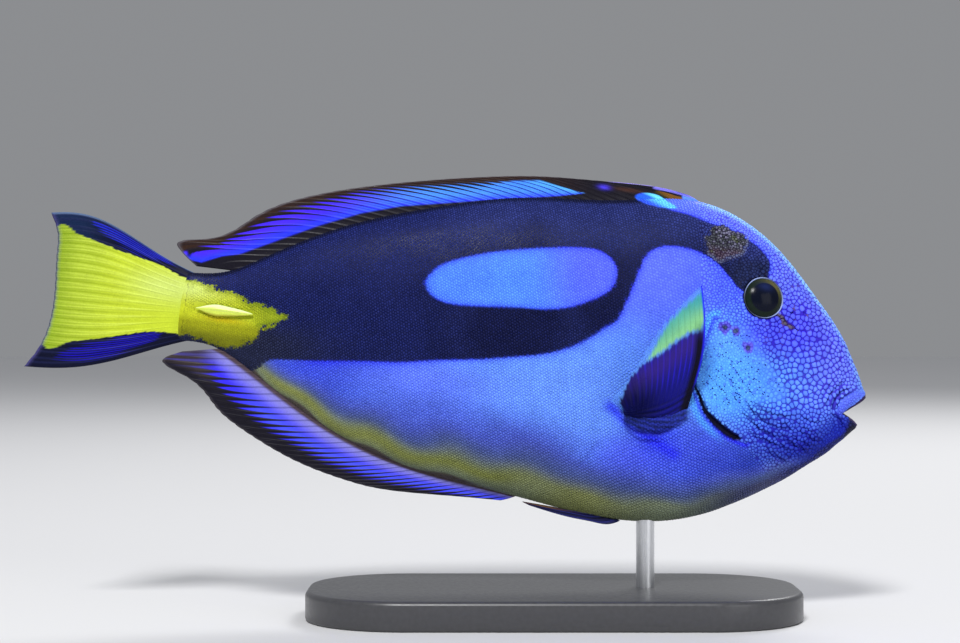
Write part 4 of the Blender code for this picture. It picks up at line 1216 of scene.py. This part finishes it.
FIN_SUNK = 0.9
DORSAL_ROOT_X = (55.5, -53.0)
DORSAL_TIPS = [
    (0.00, 51.4, 44.0), (0.045, 45.5, 44.8), (0.14, 31.0, 44.4), (0.285, 14.0, 43.1), (0.43, -4.0, 39.9),
    (0.57, -21.0, 35.9), (0.715, -38.0, 30.6), (0.83, -51.0, 23.5), (0.915, -61.5, 16.6),
    (0.967, -68.3, 14.0), (1.00, -63.0, 9.7),
]
ANAL_ROOT_X = (22.0, -53.6)
ANAL_TIPS = [
    (0.00, 17.5, -35.1), (0.06, 8.5, -35.6), (0.136, -5.0, -36.5), (0.28, -20.0, -35.8),
    (0.424, -32.0, -33.2), (0.568, -43.2, -28.9), (0.712, -53.0, -23.4), (0.856, -61.3, -17.0),
    (0.947, -67.7, -13.6), (1.00, -63.3, -11.0),
]
TAIL_TIPS = [
    (0.00, -99.4, 17.3), (0.06, -97.9, 14.6), (0.25, -96.6, 8.0), (0.50, -95.8, -1.0),
    (0.75, -96.1, -10.0), (0.94, -98.7, -17.4), (1.00, -100.4, -20.2),
]
TAIL_BOW = [(0.0, 3.3, 1.6), (0.5, 0.2, 1.4), (1.0, -2.4, 1.2)]
TAIL_RAYS = 16
PECTORAL_ROOT = [(0.0, 57.0, -5.6), (0.5, 50.6, -10.2), (1.0, 43.2, -9.5)]
PECTORAL_TIPS = [
    (0.00, 55.4, 22.4), (0.20, 53.1, 19.8), (0.40, 49.8, 15.2), (0.56, 47.0, 10.8), (0.70, 44.9, 5.8),
    (0.84, 42.4, -0.7), (1.00, 38.7, -7.0),
]
PECTORAL_STAND_OFF = [(0.0, 13.5), (0.5, 11.5), (1.0, 7.0)]
PECTORAL_RAYS = 15
PELVIC_ROOT_X = (46.5, 39.5)
PELVIC_TIPS = [(0.0, 24.5, -35.2), (1.0, 22.6, -34.6)]
PELVIC_RAYS = 4
FIN_BLACK = (0.009, 0.008, 0.014)
FIN_BROWN = (0.040, 0.018, 0.010)
FIN_EDGE = (0.100, 0.090, 0.105)
# Colour borders on the fins, as (x, z)
DORSAL_LOW = [
    (-66.0, 11.2), (-62.0, 10.8), (-57.3, 13.0), (-53.1, 14.2), (-44.1, 19.1), (-35.1, 23.9),
    (-26.0, 28.1), (-16.8, 31.2), (-2.7, 34.3), (6.7, 36.4), (16.1, 38.3), (20.8, 39.3), (26.2, 40.7),
]
DORSAL_HIGH = [
    (-67.0, 12.6), (-65.6, 13.7), (-58.2, 16.1), (-53.9, 19.4), (-45.1, 25.8), (-36.0, 29.8),
    (-26.9, 33.6), (-17.5, 36.0), (-8.1, 37.9), (1.3, 39.8), (10.8, 41.6), (15.5, 42.4), (20.5, 41.6),
    (26.2, 40.8),
]
ANAL_LOW = [
    (-65.5, -13.4), (-60.9, -14.4), (-55.7, -16.8), (-50.7, -21.2), (-44.8, -24.9), (-39.5, -27.7),
    (-32.6, -30.4), (-26.1, -33.0), (-20.4, -34.1), (-15.4, -35.1), (-8.1, -35.6), (0.5, -35.8),
    (12.1, -35.6),
]
FRONT_PATCH = [
    (43.3, 43.9), (44.6, 43.9), (46.6, 43.7), (48.4, 43.4), (49.8, 43.2), (49.9, 41.8), (47.5, 41.3),
    (46.0, 42.3), (44.5, 43.1), (43.3, 43.3),
]
FRONT_LILAC = [
    (42.6, 44.4), (43.3, 45.1), (44.1, 45.9), (46.1, 46.0), (48.1, 45.6), (50.1, 45.0), (51.9, 44.4),
    (55.5, 43.4), (52.2, 43.5), (49.3, 43.8), (46.6, 44.1), (44.0, 44.2),
]
TAIL_UPPER_STREAK = [
    (-88.4, 16.6), (-82.4, 15.4), (-77.2, 13.2), (-72.1, 11.5), (-65.5, 9.9), (-68.9, 9.6), (-74.3, 10.0),
    (-78.9, 11.3), (-83.2, 13.0), (-87.2, 14.9),
]
TAIL_LOWER_STREAK = [
    (-93.6, -16.7), (-88.9, -13.8), (-83.2, -11.7), (-76.3, -8.7), (-71.7, -7.3), (-69.0, -7.9),
    (-71.3, -10.2), (-75.8, -12.5), (-80.3, -14.7), (-86.1, -16.5), (-91.6, -17.1),
]
FIN_GREEN = [
    (45.6, 3.4), (46.9, 7.2), (47.7, 9.7), (49.1, 12.9), (51.4, 16.1), (54.4, 19.8), (56.2, 22.0),
    (58.0, 19.2), (57.6, 15.1), (57.0, 12.3), (54.5, 11.2), (51.4, 8.6), (48.8, 5.9),
]
FIN_DARK = [
    (45.2, 3.0), (48.8, 5.9), (51.4, 8.6), (54.5, 11.2), (57.0, 12.3), (58.2, 15.5), (62.0, 4.0),
    (60.0, -8.0), (50.0, -14.0), (43.5, -12.0), (41.8, -8.6), (41.0, -6.0), (41.6, -3.4), (42.4, -1.2),
    (43.4, 0.8),
]


def ray_form(share, along, rays, fork_from=0.35, fork=0.17):
    """How near a place is to a ray, 0 to 1, with the rays forked outwards, and where it lies between two
    rays, which is 0 on a ray and 1 midway."""
    off = (share * rays - 0.34 + 0.5) % 1 - 0.5
    apart = fork * ease(along, fork_from, 1.0)
    crest = hump(np.abs(off) - apart, 0, 0.105)
    return crest, 2 * np.abs(off)


def fin_grid(columns, rows):
    return np.meshgrid(np.linspace(0, 1, columns), np.linspace(0, 1, rows), indexing="ij")


def make_fin(name, middle, halves, colour, solid, slot, look, *nodes):
    """A closed fin: its middle places, half-thickness vectors, paint and opacity, all by column and row."""
    rim = np.ones(middle.shape[:2])
    rim[:, -1] = rim[0] = rim[-1] = 0
    halves = halves * rim[..., None]

    def around(near, far):
        return np.concatenate([near, far[:, ::-1], near[:, :1]], axis=1)

    columns, rows = middle.shape[:2]
    share, along = fin_grid(columns, rows)
    near_uv = np.stack([share, 0.02 + 0.46 * along], axis=-1)
    far_uv = np.stack([share, 0.98 - 0.46 * along], axis=-1)
    uv = np.concatenate([near_uv, far_uv[:, ::-1], far_uv[:, :1] + (0, 0.015)], axis=1)
    piece = closed_form(
        name, around(middle - halves, middle + halves), uv,
        paint=around(colour, colour), solid=around(solid, solid),
    )
    return finish(piece, slot, look, *nodes)


def median_fin(root_x, root_line, root_side, tips, rays, slant, bow, columns, rows):
    """Places and half thickness of a fin in the middle plane, and its (share, along, crest, between).
    slant is how far the rays run back, as a share of the fin's length."""
    share, along = fin_grid(columns, rows)
    x = root_x[0] + (root_x[1] - root_x[0]) * share
    root_z = root_line(x) - root_side * FIN_SUNK
    tip = smooth_line(tips)(share)
    crest, between = ray_form(share - slant * along, along, rays)
    reach = along * (1 - 0.010 * between**2 * along**3)
    full = np.minimum(np.minimum(1, 6 * (1 - share)), 0.25 + 6 * share)
    lift = root_side * bow * np.sin(math.pi * along) * full
    middle = np.stack([
        x + (tip[..., 0] - x) * reach,
        0.10 * waves(x, along * 12, 7.0, 5) * along,
        root_z + (tip[..., 1] - root_z) * reach + lift,
    ], axis=-1)
    half = 0.10 + 0.08 * (1 - along) + 0.75 * (1 - 0.45 * share) * (1 - along) ** 5
    half = half + 0.17 * crest * (1 - 0.62 * along) * ease(share, 0, 0.01) * ease(share, 1, 0.985)
    halves = half[..., None] * SIDEWAYS
    return middle, halves, (share, along, crest, between)


def make_dorsal_fin():
    middle, halves, (_, along, crest, between) = median_fin(
        DORSAL_ROOT_X, back_line, 1, DORSAL_TIPS, 37, 0.09, 0.9, 441, 44)
    x, z = middle[..., 0], middle[..., 2]
    low, high = border(x, DORSAL_LOW), border(x, DORSAL_HIGH)
    reach = (z - low) / np.maximum(high - low, 0.3)
    colour = FIN_BLACK
    margin = ease(reach, 0.75, 1.15) * ease(x, 30, 10)
    colour = mixed(colour, FIN_BROWN, 0.75 * margin * (1 - 0.6 * crest))
    royal = mixed((0.060, 0.022, 0.93), (0.024, 0.040, 1.0), ease(reach, 0.62, 0.05))
    azure = mixed((0.055, 0.24, 1.0), (0.022, 0.035, 0.94), ease(reach, 0.42, 0.05))
    blue = layered(
        royal,
        (azure, ease(x, -28, -8)),
        ((0.10, 0.50, 1.0), 0.75 * ease(x, 10, 19) * ease(reach, 0.5, 0.9)),
        ((0.10, 0.36, 1.0), 0.45 * hump(between, 0.62, 0.2) * ease(x, -38, -14)),
    )
    web_line = ease(between, 0.36, 0.08) * ease(reach, 0.04, 0.35)
    blue = mixed(blue, (0.006, 0.008, 0.16), 0.90 * web_line)
    streak = ease(reach + 0.62 * (1 - between) ** 1.5 * ease(x, 10, 0), 1.04, 0.90) * ease(reach, -0.06, 0.05)
    streak = streak * ease(x, -68.5, -66) * ease(x, 26.8, 25.8)
    colour = mixed(colour, blue, streak)
    wedge = wedge_by(x, z)
    cyan = mixed((0.02, 0.12, 0.98), (0.14, 0.66, 1.0), ease(z - 0.31 * (44 - x), 41.4, 42.4))
    colour = mixed(colour, cyan, ease(wedge, -0.12, 0.12))
    fore = mixed((0.075, 0.10, 0.88), (0.11, 0.26, 0.98), ease(z + 0.35 * (x - 50), 42.4, 43.2))
    colour = mixed(colour, fore, ease(x, 49.6, 50.1))
    rust = mixed((0.17, 0.075, 0.012), (0.035, 0.030, 0.008), ease(z + 0.4 * (x - 46), 43.3, 42.6))
    colour = layered(
        colour,
        (rust, ease(inside_by(x, z, FRONT_PATCH), -0.10, 0.12)),
        ((0.24, 0.21, 0.86), 0.9 * ease(inside_by(x, z, FRONT_LILAC), -0.15, 0.15)),
        ((0.075, 0.050, 0.85), 0.9 * hump(x, 31.0, 1.3) * hump(z, 42.9, 0.55)),
        ((0.075, 0.030, 0.020), 0.7 * hump(x, 37.0, 3.5) * hump(z, 43.1, 0.5)),
    )
    edge = ease(along, 0.935, 0.985)
    lilac = ease(x, 31, 34) * ease(x, 43.2, 42)
    colour = layered(
        colour,
        (FIN_EDGE, 0.8 * edge),
        ((0.34, 0.28, 0.85), lilac * ease(along, 0.88, 0.94)),
    )
    make_fin("dorsal_web", middle, halves, colour, np.ones(x.shape), "fin", FIN_LOOK, "dorsal_fin")


def make_anal_fin():
    middle, halves, (share, along, _, between) = median_fin(
        ANAL_ROOT_X, belly_line, -1, ANAL_TIPS, 32, 0.02, 0.7, 385, 46)
    x, z = middle[..., 0], middle[..., 2]
    base = belly_line(x)
    reach = (base - z) / np.maximum(base - border(x, ANAL_LOW), 0.3)
    colour = FIN_BLACK
    blue = layered(
        (0.036, 0.026, 0.92),
        ((0.225, 0.215, 0.62), ease(reach, 0.62, 0.12)),
        ((0.075, 0.110, 1.0), 0.7 * ease(x, -52, -40) * hump(reach, 0.66, 0.20)),
    )
    rays = ease(between, 0.50, 0.05) * (0.35 + 0.65 * ease(reach, 0.22, 0.6))
    blue = mixed(blue, (0.012, 0.008, 0.07), 0.95 * rays)
    streak = ease(reach + 0.55 * (1 - between) ** 1.3, 1.02, 0.88)
    colour = mixed(colour, blue, streak)
    rear = ease(x, -52, -60) * ease(share, 0.70, 0.86)
    smoky = mixed((0.040, 0.030, 0.030), (0.065, 0.060, 0.22), 0.6 * ease(between, 0.5, 0.9))
    colour = layered(
        colour,
        (smoky, rear * ease(reach, 1.3, 0.8) * 0.92),
        ((0.065, 0.042, 0.036), 0.95 * ease(reach, 0.13, 0.05)),
        (FIN_EDGE, 0.4 * ease(along, 0.96, 0.99)),
    )
    make_fin("anal_web", middle, halves, colour, np.ones(x.shape), "fin", FIN_LOOK, "anal_fin")


def make_tail_fin():
    share, along = fin_grid(353, 60)
    along = along**1.15
    x = TAIL_ROOT_X
    top, bottom, thick_root = back_line(x), belly_line(x), flank_width(x)
    tip, bow = smooth_line(TAIL_TIPS)(share), smooth_line(TAIL_BOW)(share)
    crest, between = ray_form(share, along, TAIL_RAYS, 0.2, 0.2)
    tuck = (1 - along) ** 10
    root_z = top + (bottom - top) * share - 0.45 * tuck * (1 - 2 * share)
    reach = along * (1 - 0.004 * between**2 * along**3)
    lift = bow[..., 0] * np.sin(math.pi * along ** bow[..., 1])
    middle = np.stack([
        x + 2.0 * tuck + (tip[..., 0] - x) * reach,
        0.22 * waves(along * 30, share * 30, 16.0, 2) * along**2,
        root_z + (tip[..., 1] - root_z) * reach + lift,
    ], axis=-1)
    fade = np.maximum(0, 1 - along / 0.38) ** 1.6
    round_root = thick_root * np.sqrt(np.maximum(0, 1 - np.abs(2 * share - 1) ** 2))
    half = np.maximum(0.12 + 0.06 * (1 - along), 0.2 * (1 - along))
    half = half + np.maximum(0, round_root - 0.2) * fade + 0.13 * crest * (1 - fade) * (1 - 0.6 * along)
    half = np.maximum(half - 0.5 * tuck, 0.05)
    px, pz = middle[..., 0], middle[..., 2]
    colour = layered(
        (0.003, 0.004, 0.018),
        ((0.006, 0.016, 0.055), ease(px, -82, -93) * ease(pz, 5, 10)),
        ((0.012, 0.016, 0.070), 0.5 * crest),
    )
    number = (share + 0.004 * waves(px, pz, 14, 4)) * TAIL_RAYS * 4
    fine = np.abs(number % 1 - 0.5) * 2
    lot = np.random.default_rng(3).uniform(-1, 1, 80)[np.floor(number + 0.5).astype(int) % 80]
    streaks = ease(fine, 0.35, 0.75)
    upper, lower = inside_by(px, pz, TAIL_UPPER_STREAK), inside_by(px, pz, TAIL_LOWER_STREAK)
    ragged = 0.9 * (fine - 0.5) + 0.5 * lot
    colour = layered(
        colour,
        ((0.018, 0.026, 0.62), ease(upper + ragged, -0.4, 0.5) * (0.15 + 0.7 * streaks)),
        ((0.012, 0.003, 0.62), ease(lower + ragged, -0.1, 0.7) * (0.02 + 0.62 * streaks)),
    )
    fan = yellow_by(px, pz) + 0.12 * waves(px, pz, 1.4, 9)
    lemon = layered(
        (0.48, 0.58, 0.030),
        ((0.33, 0.44, 0.024), ease(px, -80, -90)),
        (PALE_LEMON, 0.8 * ease(px, -84, -70) * hump(pz, 3.8, 3.6)),
        ((0.56, 0.68, 0.08), 0.50 * crest * ease(px, -68, -80)),
        ((0.52, 0.64, 0.07), 0.40 * ease(fine, 0.6, 0.9) * ease(px, -74, -84)),
        ((0.20, 0.27, 0.006), 0.40 * ease(between, 0.55, 1.0) * ease(px, -70, -84)),
        ((0.15, 0.26, 0.010), 0.8 * ease(px, -89, -97) * (0.6 + 0.4 * (1 - fine))),
    )
    colour = layered(
        colour,
        (lemon, ease(fan, -0.1, 0.15)),
        ((0.10, 0.09, 0.30), 0.85 * ease(along, 0.975, 0.995)),
        ((0.10, 0.16, 0.30), 0.7 * ease(share, 0.014, 0.004)),
    )
    halves = half[..., None] * SIDEWAYS
    make_fin("tail_web", middle, halves, colour, np.ones(px.shape), "tail_fin", FIN_LOOK, "tail_fin")


def make_pectoral_fin(side):
    share, along = fin_grid(241, 52)
    root_xz, tip = smooth_line(PECTORAL_ROOT)(share), smooth_line(PECTORAL_TIPS)(share)
    rx, rz = root_xz[..., 0], root_xz[..., 1]
    root = np.stack([rx, side * (flank_y(rx, rz) - 0.7), rz], axis=-1)
    stand_off = smooth_line(PECTORAL_STAND_OFF)(share)
    tip_x, tip_z = tip[..., 0], tip[..., 1]
    tip = np.stack([tip_x, side * (flank_y(tip_x, tip_z) + stand_off), tip_z], axis=-1)
    bow = np.stack([2.2 * (1 - share), 1.7 * side + 0 * share, 0 * share], axis=-1)
    crest, between = ray_form(share, along, PECTORAL_RAYS, 0.3, 0.2)
    ragged = 0.05 * between**2 * ease(share, 0.1, 0.5) * along**4
    reach = (along * (1 - ragged))[..., None]
    middle = root + (tip - root) * reach + bow * np.sin(math.pi * along)[..., None]
    normal = unit(np.cross(np.gradient(middle, axis=0), np.gradient(middle, axis=1)))
    half = 0.07 + 0.08 * (1 - along) + 0.75 * (1 - along) ** 6
    half = half + 0.20 * crest * (1 - 0.75 * along) * np.minimum(1, 3 * along)
    half = half + 0.22 * hump(share, 0.02, 0.03) * (1 - 0.6 * along)
    half = half + 0.12 * np.sin(along * 95) * hump(along, 0.12, 0.09)
    x, z = middle[..., 0], middle[..., 2]
    wash = 0.35 * waves(share * 40, along * 4, 3.0, 3) + 0.9 * (crest - 0.4)
    dark, green = inside_by(x, z, FIN_DARK) + 0.5 * wash, inside_by(x, z, FIN_GREEN) + 0.4 * wash
    colour = (0.13, 0.34, 0.95)
    tint = layered(
        (0.07, 0.42, 0.36),
        ((0.27, 0.66, 0.28), hump(z - 1.1 * (x - 50), 7.0, 4.5)),
        ((0.04, 0.34, 0.42), 0.7 * ease(z, 15, 20)),
        ((0.08, 0.28, 0.12), 0.3 * ease(between, 0.3, 0.05)),
    )
    colour = mixed(colour, tint, ease(green, -0.3, 0.7))
    night = layered(
        (0.008, 0.008, 0.230),
        ((0.020, 0.012, 0.80), 0.7 * ease(between, 0.6, 0.95) * ease(along, 0.25, 0.45)),
        ((0.040, 0.018, 0.22), 0.7 * hump(z - 1.0 * (x - 50), 4.0, 4.0)),
        ((0.005, 0.006, 0.040), 0.8 * ease(z, 2, -6) * ease(share, 0.3, 0.8)),
        # Dark arcs near the root: painted shade in the fin's creases
        ((0.004, 0.005, 0.040), 0.8 * ease(np.sin(along * 120), -0.2, 0.8) * ease(along, 0.24, 0.12)),
    )
    colour = layered(
        colour,
        (night, ease(dark, -0.2, 0.5)),
        ((0.004, 0.003, 0.015), ease(share, 0.20, 0.10) * ease(z, 15, 9)),
        ((0.020, 0.020, 0.88), ease(share, 0.05, 0.015) * ease(along, 0.12, 0.3)),
    )
    solid = 0.30 + 0.70 * np.maximum(ease(dark, -0.4, 0.3), 0.85 * ease(green, -0.8, 0.8))
    solid = np.maximum(solid, ease(share, 0.05, 0.02))
    name = hand(side)
    make_fin(
        "pectoral_web_" + name, middle, normal * half[..., None], colour, solid, "fin", CLEAR_LOOK,
        "pectoral_fin_" + name,
    )


def make_pelvic_fin(side):
    share, along = fin_grid(61, 48)
    x = PELVIC_ROOT_X[0] + (PELVIC_ROOT_X[1] - PELVIC_ROOT_X[0]) * share
    tip = smooth_line(PELVIC_TIPS)(share)
    root = np.stack([x, side * 1.35 + 0 * x, belly_line(x) + 0.5], axis=-1)
    tip = np.stack([tip[..., 0], side * 0.85 + 0 * x, tip[..., 1]], axis=-1)
    crest, between = ray_form(share, along, PELVIC_RAYS, 0.5, 0.15)
    middle = root + (tip - root) * along[..., None]
    sag = 1.55 * np.sin(math.pi * along**0.75) * (1 - share)
    middle[..., 2] -= sag + 0.8 * hump(along, 0.12, 0.16) * (1 - share)
    half = 0.14 + 0.25 * (1 - along) + 0.18 * crest * (1 - along)
    colour = layered(
        (0.010, 0.012, 0.07),
        ((0.040, 0.045, 0.30), 0.8 * ease(between, 0.4, 0.9) * hump(along, 0.35, 0.3)),
        ((0.26, 0.13, 0.03), 0.8 * ease(share, 0.72, 0.9) * hump(along, 0.7, 0.3)),
        (FIN_BLACK, 0.8 * hump(share, 0.5, 0.12)),
    )
    name = hand(side)
    make_fin(
        "pelvic_web_" + name, middle, half[..., None] * SIDEWAYS, colour, np.ones(x.shape), "fin",
        FIN_LOOK, "pelvic_fin_" + name,
    )


FIN_LOOK = painted_look("fin_skin", 0.10, 0.36, 0.15, shine=0.08)
CLEAR_LOOK = painted_look("clear_fin_skin", 0.08, 0.34, 0.10, clear=True, shine=0.08)
make_dorsal_fin()
make_anal_fin()
make_tail_fin()
for fin_side in (-1, 1):
    make_pectoral_fin(fin_side)
    make_pelvic_fin(fin_side)

# Eyes

EYE_RADIUS = 5.2
EYE_HALF_DEPTH = 3.0


def eye_axes(side):
    """Middle of the eye's opening on the flank, and its outward, snoutward and upward directions."""
    place, normal = flank_frame(*EYE_AT, side)
    ahead = unit(np.array((1.0, 0, 0)) - normal * normal[0])
    return place, normal, ahead, side * np.cross(ahead, normal)


def make_eye(side):
    place, normal, ahead, up = eye_axes(side)
    name = hand(side)
    turn, rise = np.meshgrid(np.linspace(0, FULL_TURN, 129), np.linspace(0, math.pi, 81), indexing="xy")
    radial = np.sin(rise)
    out = radial[..., None] * (np.cos(turn)[..., None] * ahead + np.sin(turn)[..., None] * up) * EYE_RADIUS
    depth = np.cos(rise) * EYE_HALF_DEPTH
    rings = place - normal * EYE_SINK + out + depth[..., None] * normal
    radius = radial * EYE_RADIUS
    iris = ease(radius, 3.35, 3.6)
    colour = mixed((0.0025, 0.0040, 0.012), (0.007, 0.014, 0.010), iris)
    crest = iris * ease(radius, 4.75, 4.45)
    crescent = hump(wrapped(turn - 0.95), 0, 0.75)
    sheen = 0.6 * hump(radius * np.cos(turn), -0.2, 1.7) * hump(radius * np.sin(turn), 2.5, 1.0)
    colour = layered(
        colour,
        ((0.115, 0.105, 0.030), 0.85 * crest * crescent),
        ((0.014, 0.024, 0.110), sheen),
    )
    spread = 0.48 * rise / math.pi
    uv = np.stack([0.5 + spread * np.cos(turn), 0.5 + spread * np.sin(turn)], axis=-1)
    ball = closed_form("eye_ball_" + name, rings, uv, paint=colour)
    finish(ball, "eye", EYE_LOOK, "eye_" + name)
    around, tube = np.meshgrid(np.linspace(0, FULL_TURN, 121), np.linspace(0, FULL_TURN, 13), indexing="ij")
    wide = 4.80 + 0.05 * np.cos(3 * around + 1)
    thick = 0.15 + 0.05 * np.cos(around - 0.6)
    lift = 0.12 + 0.10 * np.cos(around + 2.0)
    spread = wide + thick * np.cos(tube)
    rings = (
        place + (np.cos(around) * spread)[..., None] * ahead + (np.sin(around) * spread)[..., None] * up
        + (lift + thick * np.sin(tube))[..., None] * normal
    )
    light = np.maximum(hump(wrapped(around + 0.45), 0, 1.1), hump(around, 2.18, 0.8))
    colour = mixed((0.020, 0.022, 0.030), (0.30, 0.38, 0.72), 0.9 * light)
    uv = np.stack([around / FULL_TURN, 0.1 * tube / FULL_TURN], axis=-1)
    ring_piece = closed_form("eye_ring_" + name, rings, uv, paint=colour)
    finish(ring_piece, "blue_skin", RING_LOOK)


EYE_LOOK = painted_look("eye_glass", 0.05, 0.20, 0.0, shine=0.09)
RING_LOOK = painted_look("eye_rim", 0.10, 0.30, 0.1, shine=0.15)
for eye_side in (-1, 1):
    make_eye(eye_side)

# Blades of the tail stock

BLADE_X = (-61.4, -47.4)
BLADE_LEVEL = (-0.2, 0.3)


def make_blade(side):
    share, around = np.meshgrid(np.linspace(0, 1, 61), np.linspace(0, FULL_TURN, 33), indexing="ij")
    x = BLADE_X[0] + (BLADE_X[1] - BLADE_X[0]) * share
    level = BLADE_LEVEL[0] + (BLADE_LEVEL[1] - BLADE_LEVEL[0]) * share
    fullness = ease(share, -0.04, 0.42) ** 0.8 * (1 - share) ** 0.6 * 1.35
    high, thick = 1.4 * fullness, 0.75 * fullness**0.6 * ease(share, -0.01, 0.03) * ease(share, 1.005, 0.97)
    ridge = 0.16 * fullness * hump(around, math.pi / 2 - 0.25, 0.28)
    rings = np.stack([
        x, side * (flank_y(x, level) + 0.15 + thick * np.sin(around) + ridge), level + high * np.cos(around),
    ], axis=-1)
    upward = np.cos(around)
    colour = layered(
        (0.62, 0.74, 0.09),
        # Lighter on top and orange-dark underneath: painted highlight and painted shadow; the grey line along
        # it is its own colour
        ((0.78, 0.90, 0.42), ease(upward, 0.2, 0.7)),
        ((0.42, 0.42, 0.20), 0.65 * hump(upward, 0.08, 0.10) * ease(share, 0.1, 0.3)),
        ((0.50, 0.42, 0.02), 0.7 * ease(upward, -0.5, -0.9)),
    )
    uv = np.stack([share, 0.2 * around / FULL_TURN], axis=-1)
    name = hand(side)
    blade = closed_form("blade_" + name, rings, uv, paint=colour)
    finish(blade, "blade", BLADE_LOOK, "tail_blade_" + name)


BLADE_LOOK = painted_look("blade_skin", 0.06, 0.28, 0.05, shine=0.25)
for blade_side in (-1, 1):
    make_blade(blade_side)

# Stand

BASE_LENGTH, BASE_WIDTH, BASE_THICKNESS, BASE_CENTRE_X = 118.0, 60.0, 7.0, 26.0
BASE_CORNER, BASE_EDGE = 24.0, 1.2
ROD_RADIUS = 2.2


def upright(points):
    return np.asarray(points, float) * MM


def stand_look(name, colour, roughness, metallic, grain):
    look, tree, shader = new_look(name)
    place = add_node(tree, "ShaderNodeTexCoord").outputs["Object"]
    stretched = add_node(tree, "ShaderNodeMapping", [("Vector", place)])
    stretched.inputs["Scale"].default_value = grain
    fine = noise(tree, stretched.outputs["Vector"], 1.0, 3.0)
    tone = remap(tree, fine, 0.3, 0.7, 0.9, 1.1)
    value = add_node(tree, "ShaderNodeHueSaturation", [("Color", (*colour, 1)), ("Value", tone)])
    tree.links.new(value.outputs["Color"], shader.inputs["Base Color"])
    dull = remap(tree, fine, 0.3, 0.7, roughness * 0.85, roughness * 1.15)
    tree.links.new(dull, shader.inputs["Roughness"])
    shader.inputs["Metallic"].default_value = metallic
    return look


def rounded_outline(inset, steps=24):
    """The base's outline, closed, drawn in by inset."""
    corner = BASE_CORNER - inset
    length, width = BASE_LENGTH / 2 - inset - corner, BASE_WIDTH / 2 - inset - corner
    points = []
    for cx, cy, start in ((1, 1, 0), (-1, 1, 90), (-1, -1, 180), (1, -1, 270)):
        for angle in np.radians(start + 90 * np.arange(steps + 1) / steps):
            points.append((cx * length + corner * math.cos(angle), cy * width + corner * math.sin(angle)))
    return np.array(points + points[:1])


def level_ring(outline, height):
    """An outline (x, y) at one height, as (x, y, z)."""
    return np.column_stack([outline, np.full(len(outline), height)])


def make_stand():
    profile = [(0.0, 20.0), (0.0, 0.6), (0.3, 0.15), (0.6, 0.0), (BASE_THICKNESS - BASE_EDGE, 0.0)]
    for angle in np.radians(np.linspace(15, 90, 6)):
        profile.append((
            BASE_THICKNESS - BASE_EDGE * (1 - math.sin(angle)), BASE_EDGE * (1 - math.cos(angle)),
        ))
    profile.append((BASE_THICKNESS, 20.0))
    rings = []
    for height, inset in profile:
        rings.append(level_ring(rounded_outline(inset) + (BASE_CENTRE_X, 0), height))
    middle = np.array((BASE_CENTRE_X, 0, 0))
    rings = [rings[0] * 0 + middle] + rings + [rings[0] * 0 + middle + (0, 0, BASE_THICKNESS)]
    base = closed_form("base", np.array(rings), placed=upright)
    lacquer = stand_look("base_lacquer", (0.05, 0.05, 0.055), 0.34, 0.0, (900, 900, 900))
    finish(base, "stand_base", lacquer, "stand_base")
    low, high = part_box("stand_rod")
    centre = np.array(((low[0] + high[0]) / 2, 0, 0)) / MM
    top = high[2] / MM + 0.4
    foot, neck = BASE_THICKNESS - 0.4, top - 2.6
    angle = np.linspace(0, FULL_TURN, 65)
    circle = np.column_stack([np.cos(angle), np.sin(angle)])
    rings = []
    for height, radius in ((foot, 0), (foot, ROD_RADIUS), (neck, ROD_RADIUS), (top, ROD_RADIUS), (top, 0)):
        rings.append(centre + level_ring(radius * circle, height))
    rod = closed_form("rod", np.array(rings), placed=upright)
    rod.data.set_sharp_from_angle(angle=math.radians(40))
    steel = stand_look("brushed_rod", (0.62, 0.63, 0.65), 0.30, 1.0, (4000, 4000, 60))
    finish(rod, "stand_rod", steel, "stand_rod")


make_stand()

# Floor, light and camera

ROOM_LIGHT = 0.42
ROOM_SEEN = 0.312  # so that the room has the far floor's own tone
CAMERA_AT = (0.00844, -0.544, 0.07064)
LENS = 85.0


def plain_look(name, colour, roughness):
    look, _, shader = new_look(name)
    shader.inputs["Base Color"].default_value = (*colour, 1)
    shader.inputs["Roughness"].default_value = roughness
    return look


def make_setting():
    bpy.ops.mesh.primitive_plane_add(size=8, location=(0, 0, 0))
    floor = bpy.context.object
    floor.name = "floor"
    floor.data.materials.append(plain_look("pale_floor", (0.66, 0.66, 0.67), 0.9))
    floor.select_set(False)
    world = bpy.data.worlds.new("soft_room")
    world.use_nodes = True
    world.node_tree.nodes["Background"].inputs["Color"].default_value = (0.84, 0.86, 0.90, 1)
    room = world.node_tree
    seen = add_node(room, "ShaderNodeLightPath").outputs["Is Camera Ray"]
    strength = remap(room, seen, 0.0, 1.0, ROOM_LIGHT, ROOM_SEEN)
    room.links.new(strength, room.nodes["Background"].inputs["Strength"])
    bpy.context.scene.world = world
    for name, place, size, power in (
        ("key", (-0.25, -1.20, 1.25), 0.30, 26.0),
        ("fill", (1.1, -1.3, 0.45), 0.9, 5.0),
        ("back", (0.5, 0.9, 1.0), 0.5, 9.0),
    ):
        data = bpy.data.lights.new(name, "AREA")
        data.size = size
        data.energy = power
        light = bpy.data.objects.new(name, data)
        light.location = place
        aim = Vector((0.0, 0.0, 0.06)) - Vector(place)
        light.rotation_euler = aim.to_track_quat("-Z", "Y").to_euler()
        bpy.context.scene.collection.objects.link(light)
    camera = bpy.data.cameras.new("camera")
    camera.lens = LENS
    camera.sensor_width = 36.0
    camera.clip_start = 0.01
    holder = bpy.data.objects.new("camera", camera)
    holder.location = CAMERA_AT
    holder.rotation_euler = (math.pi / 2, 0, 0)
    bpy.context.scene.collection.objects.link(holder)
    bpy.context.scene.camera = holder
    bpy.context.scene.view_settings.view_transform = "Standard"


make_setting()
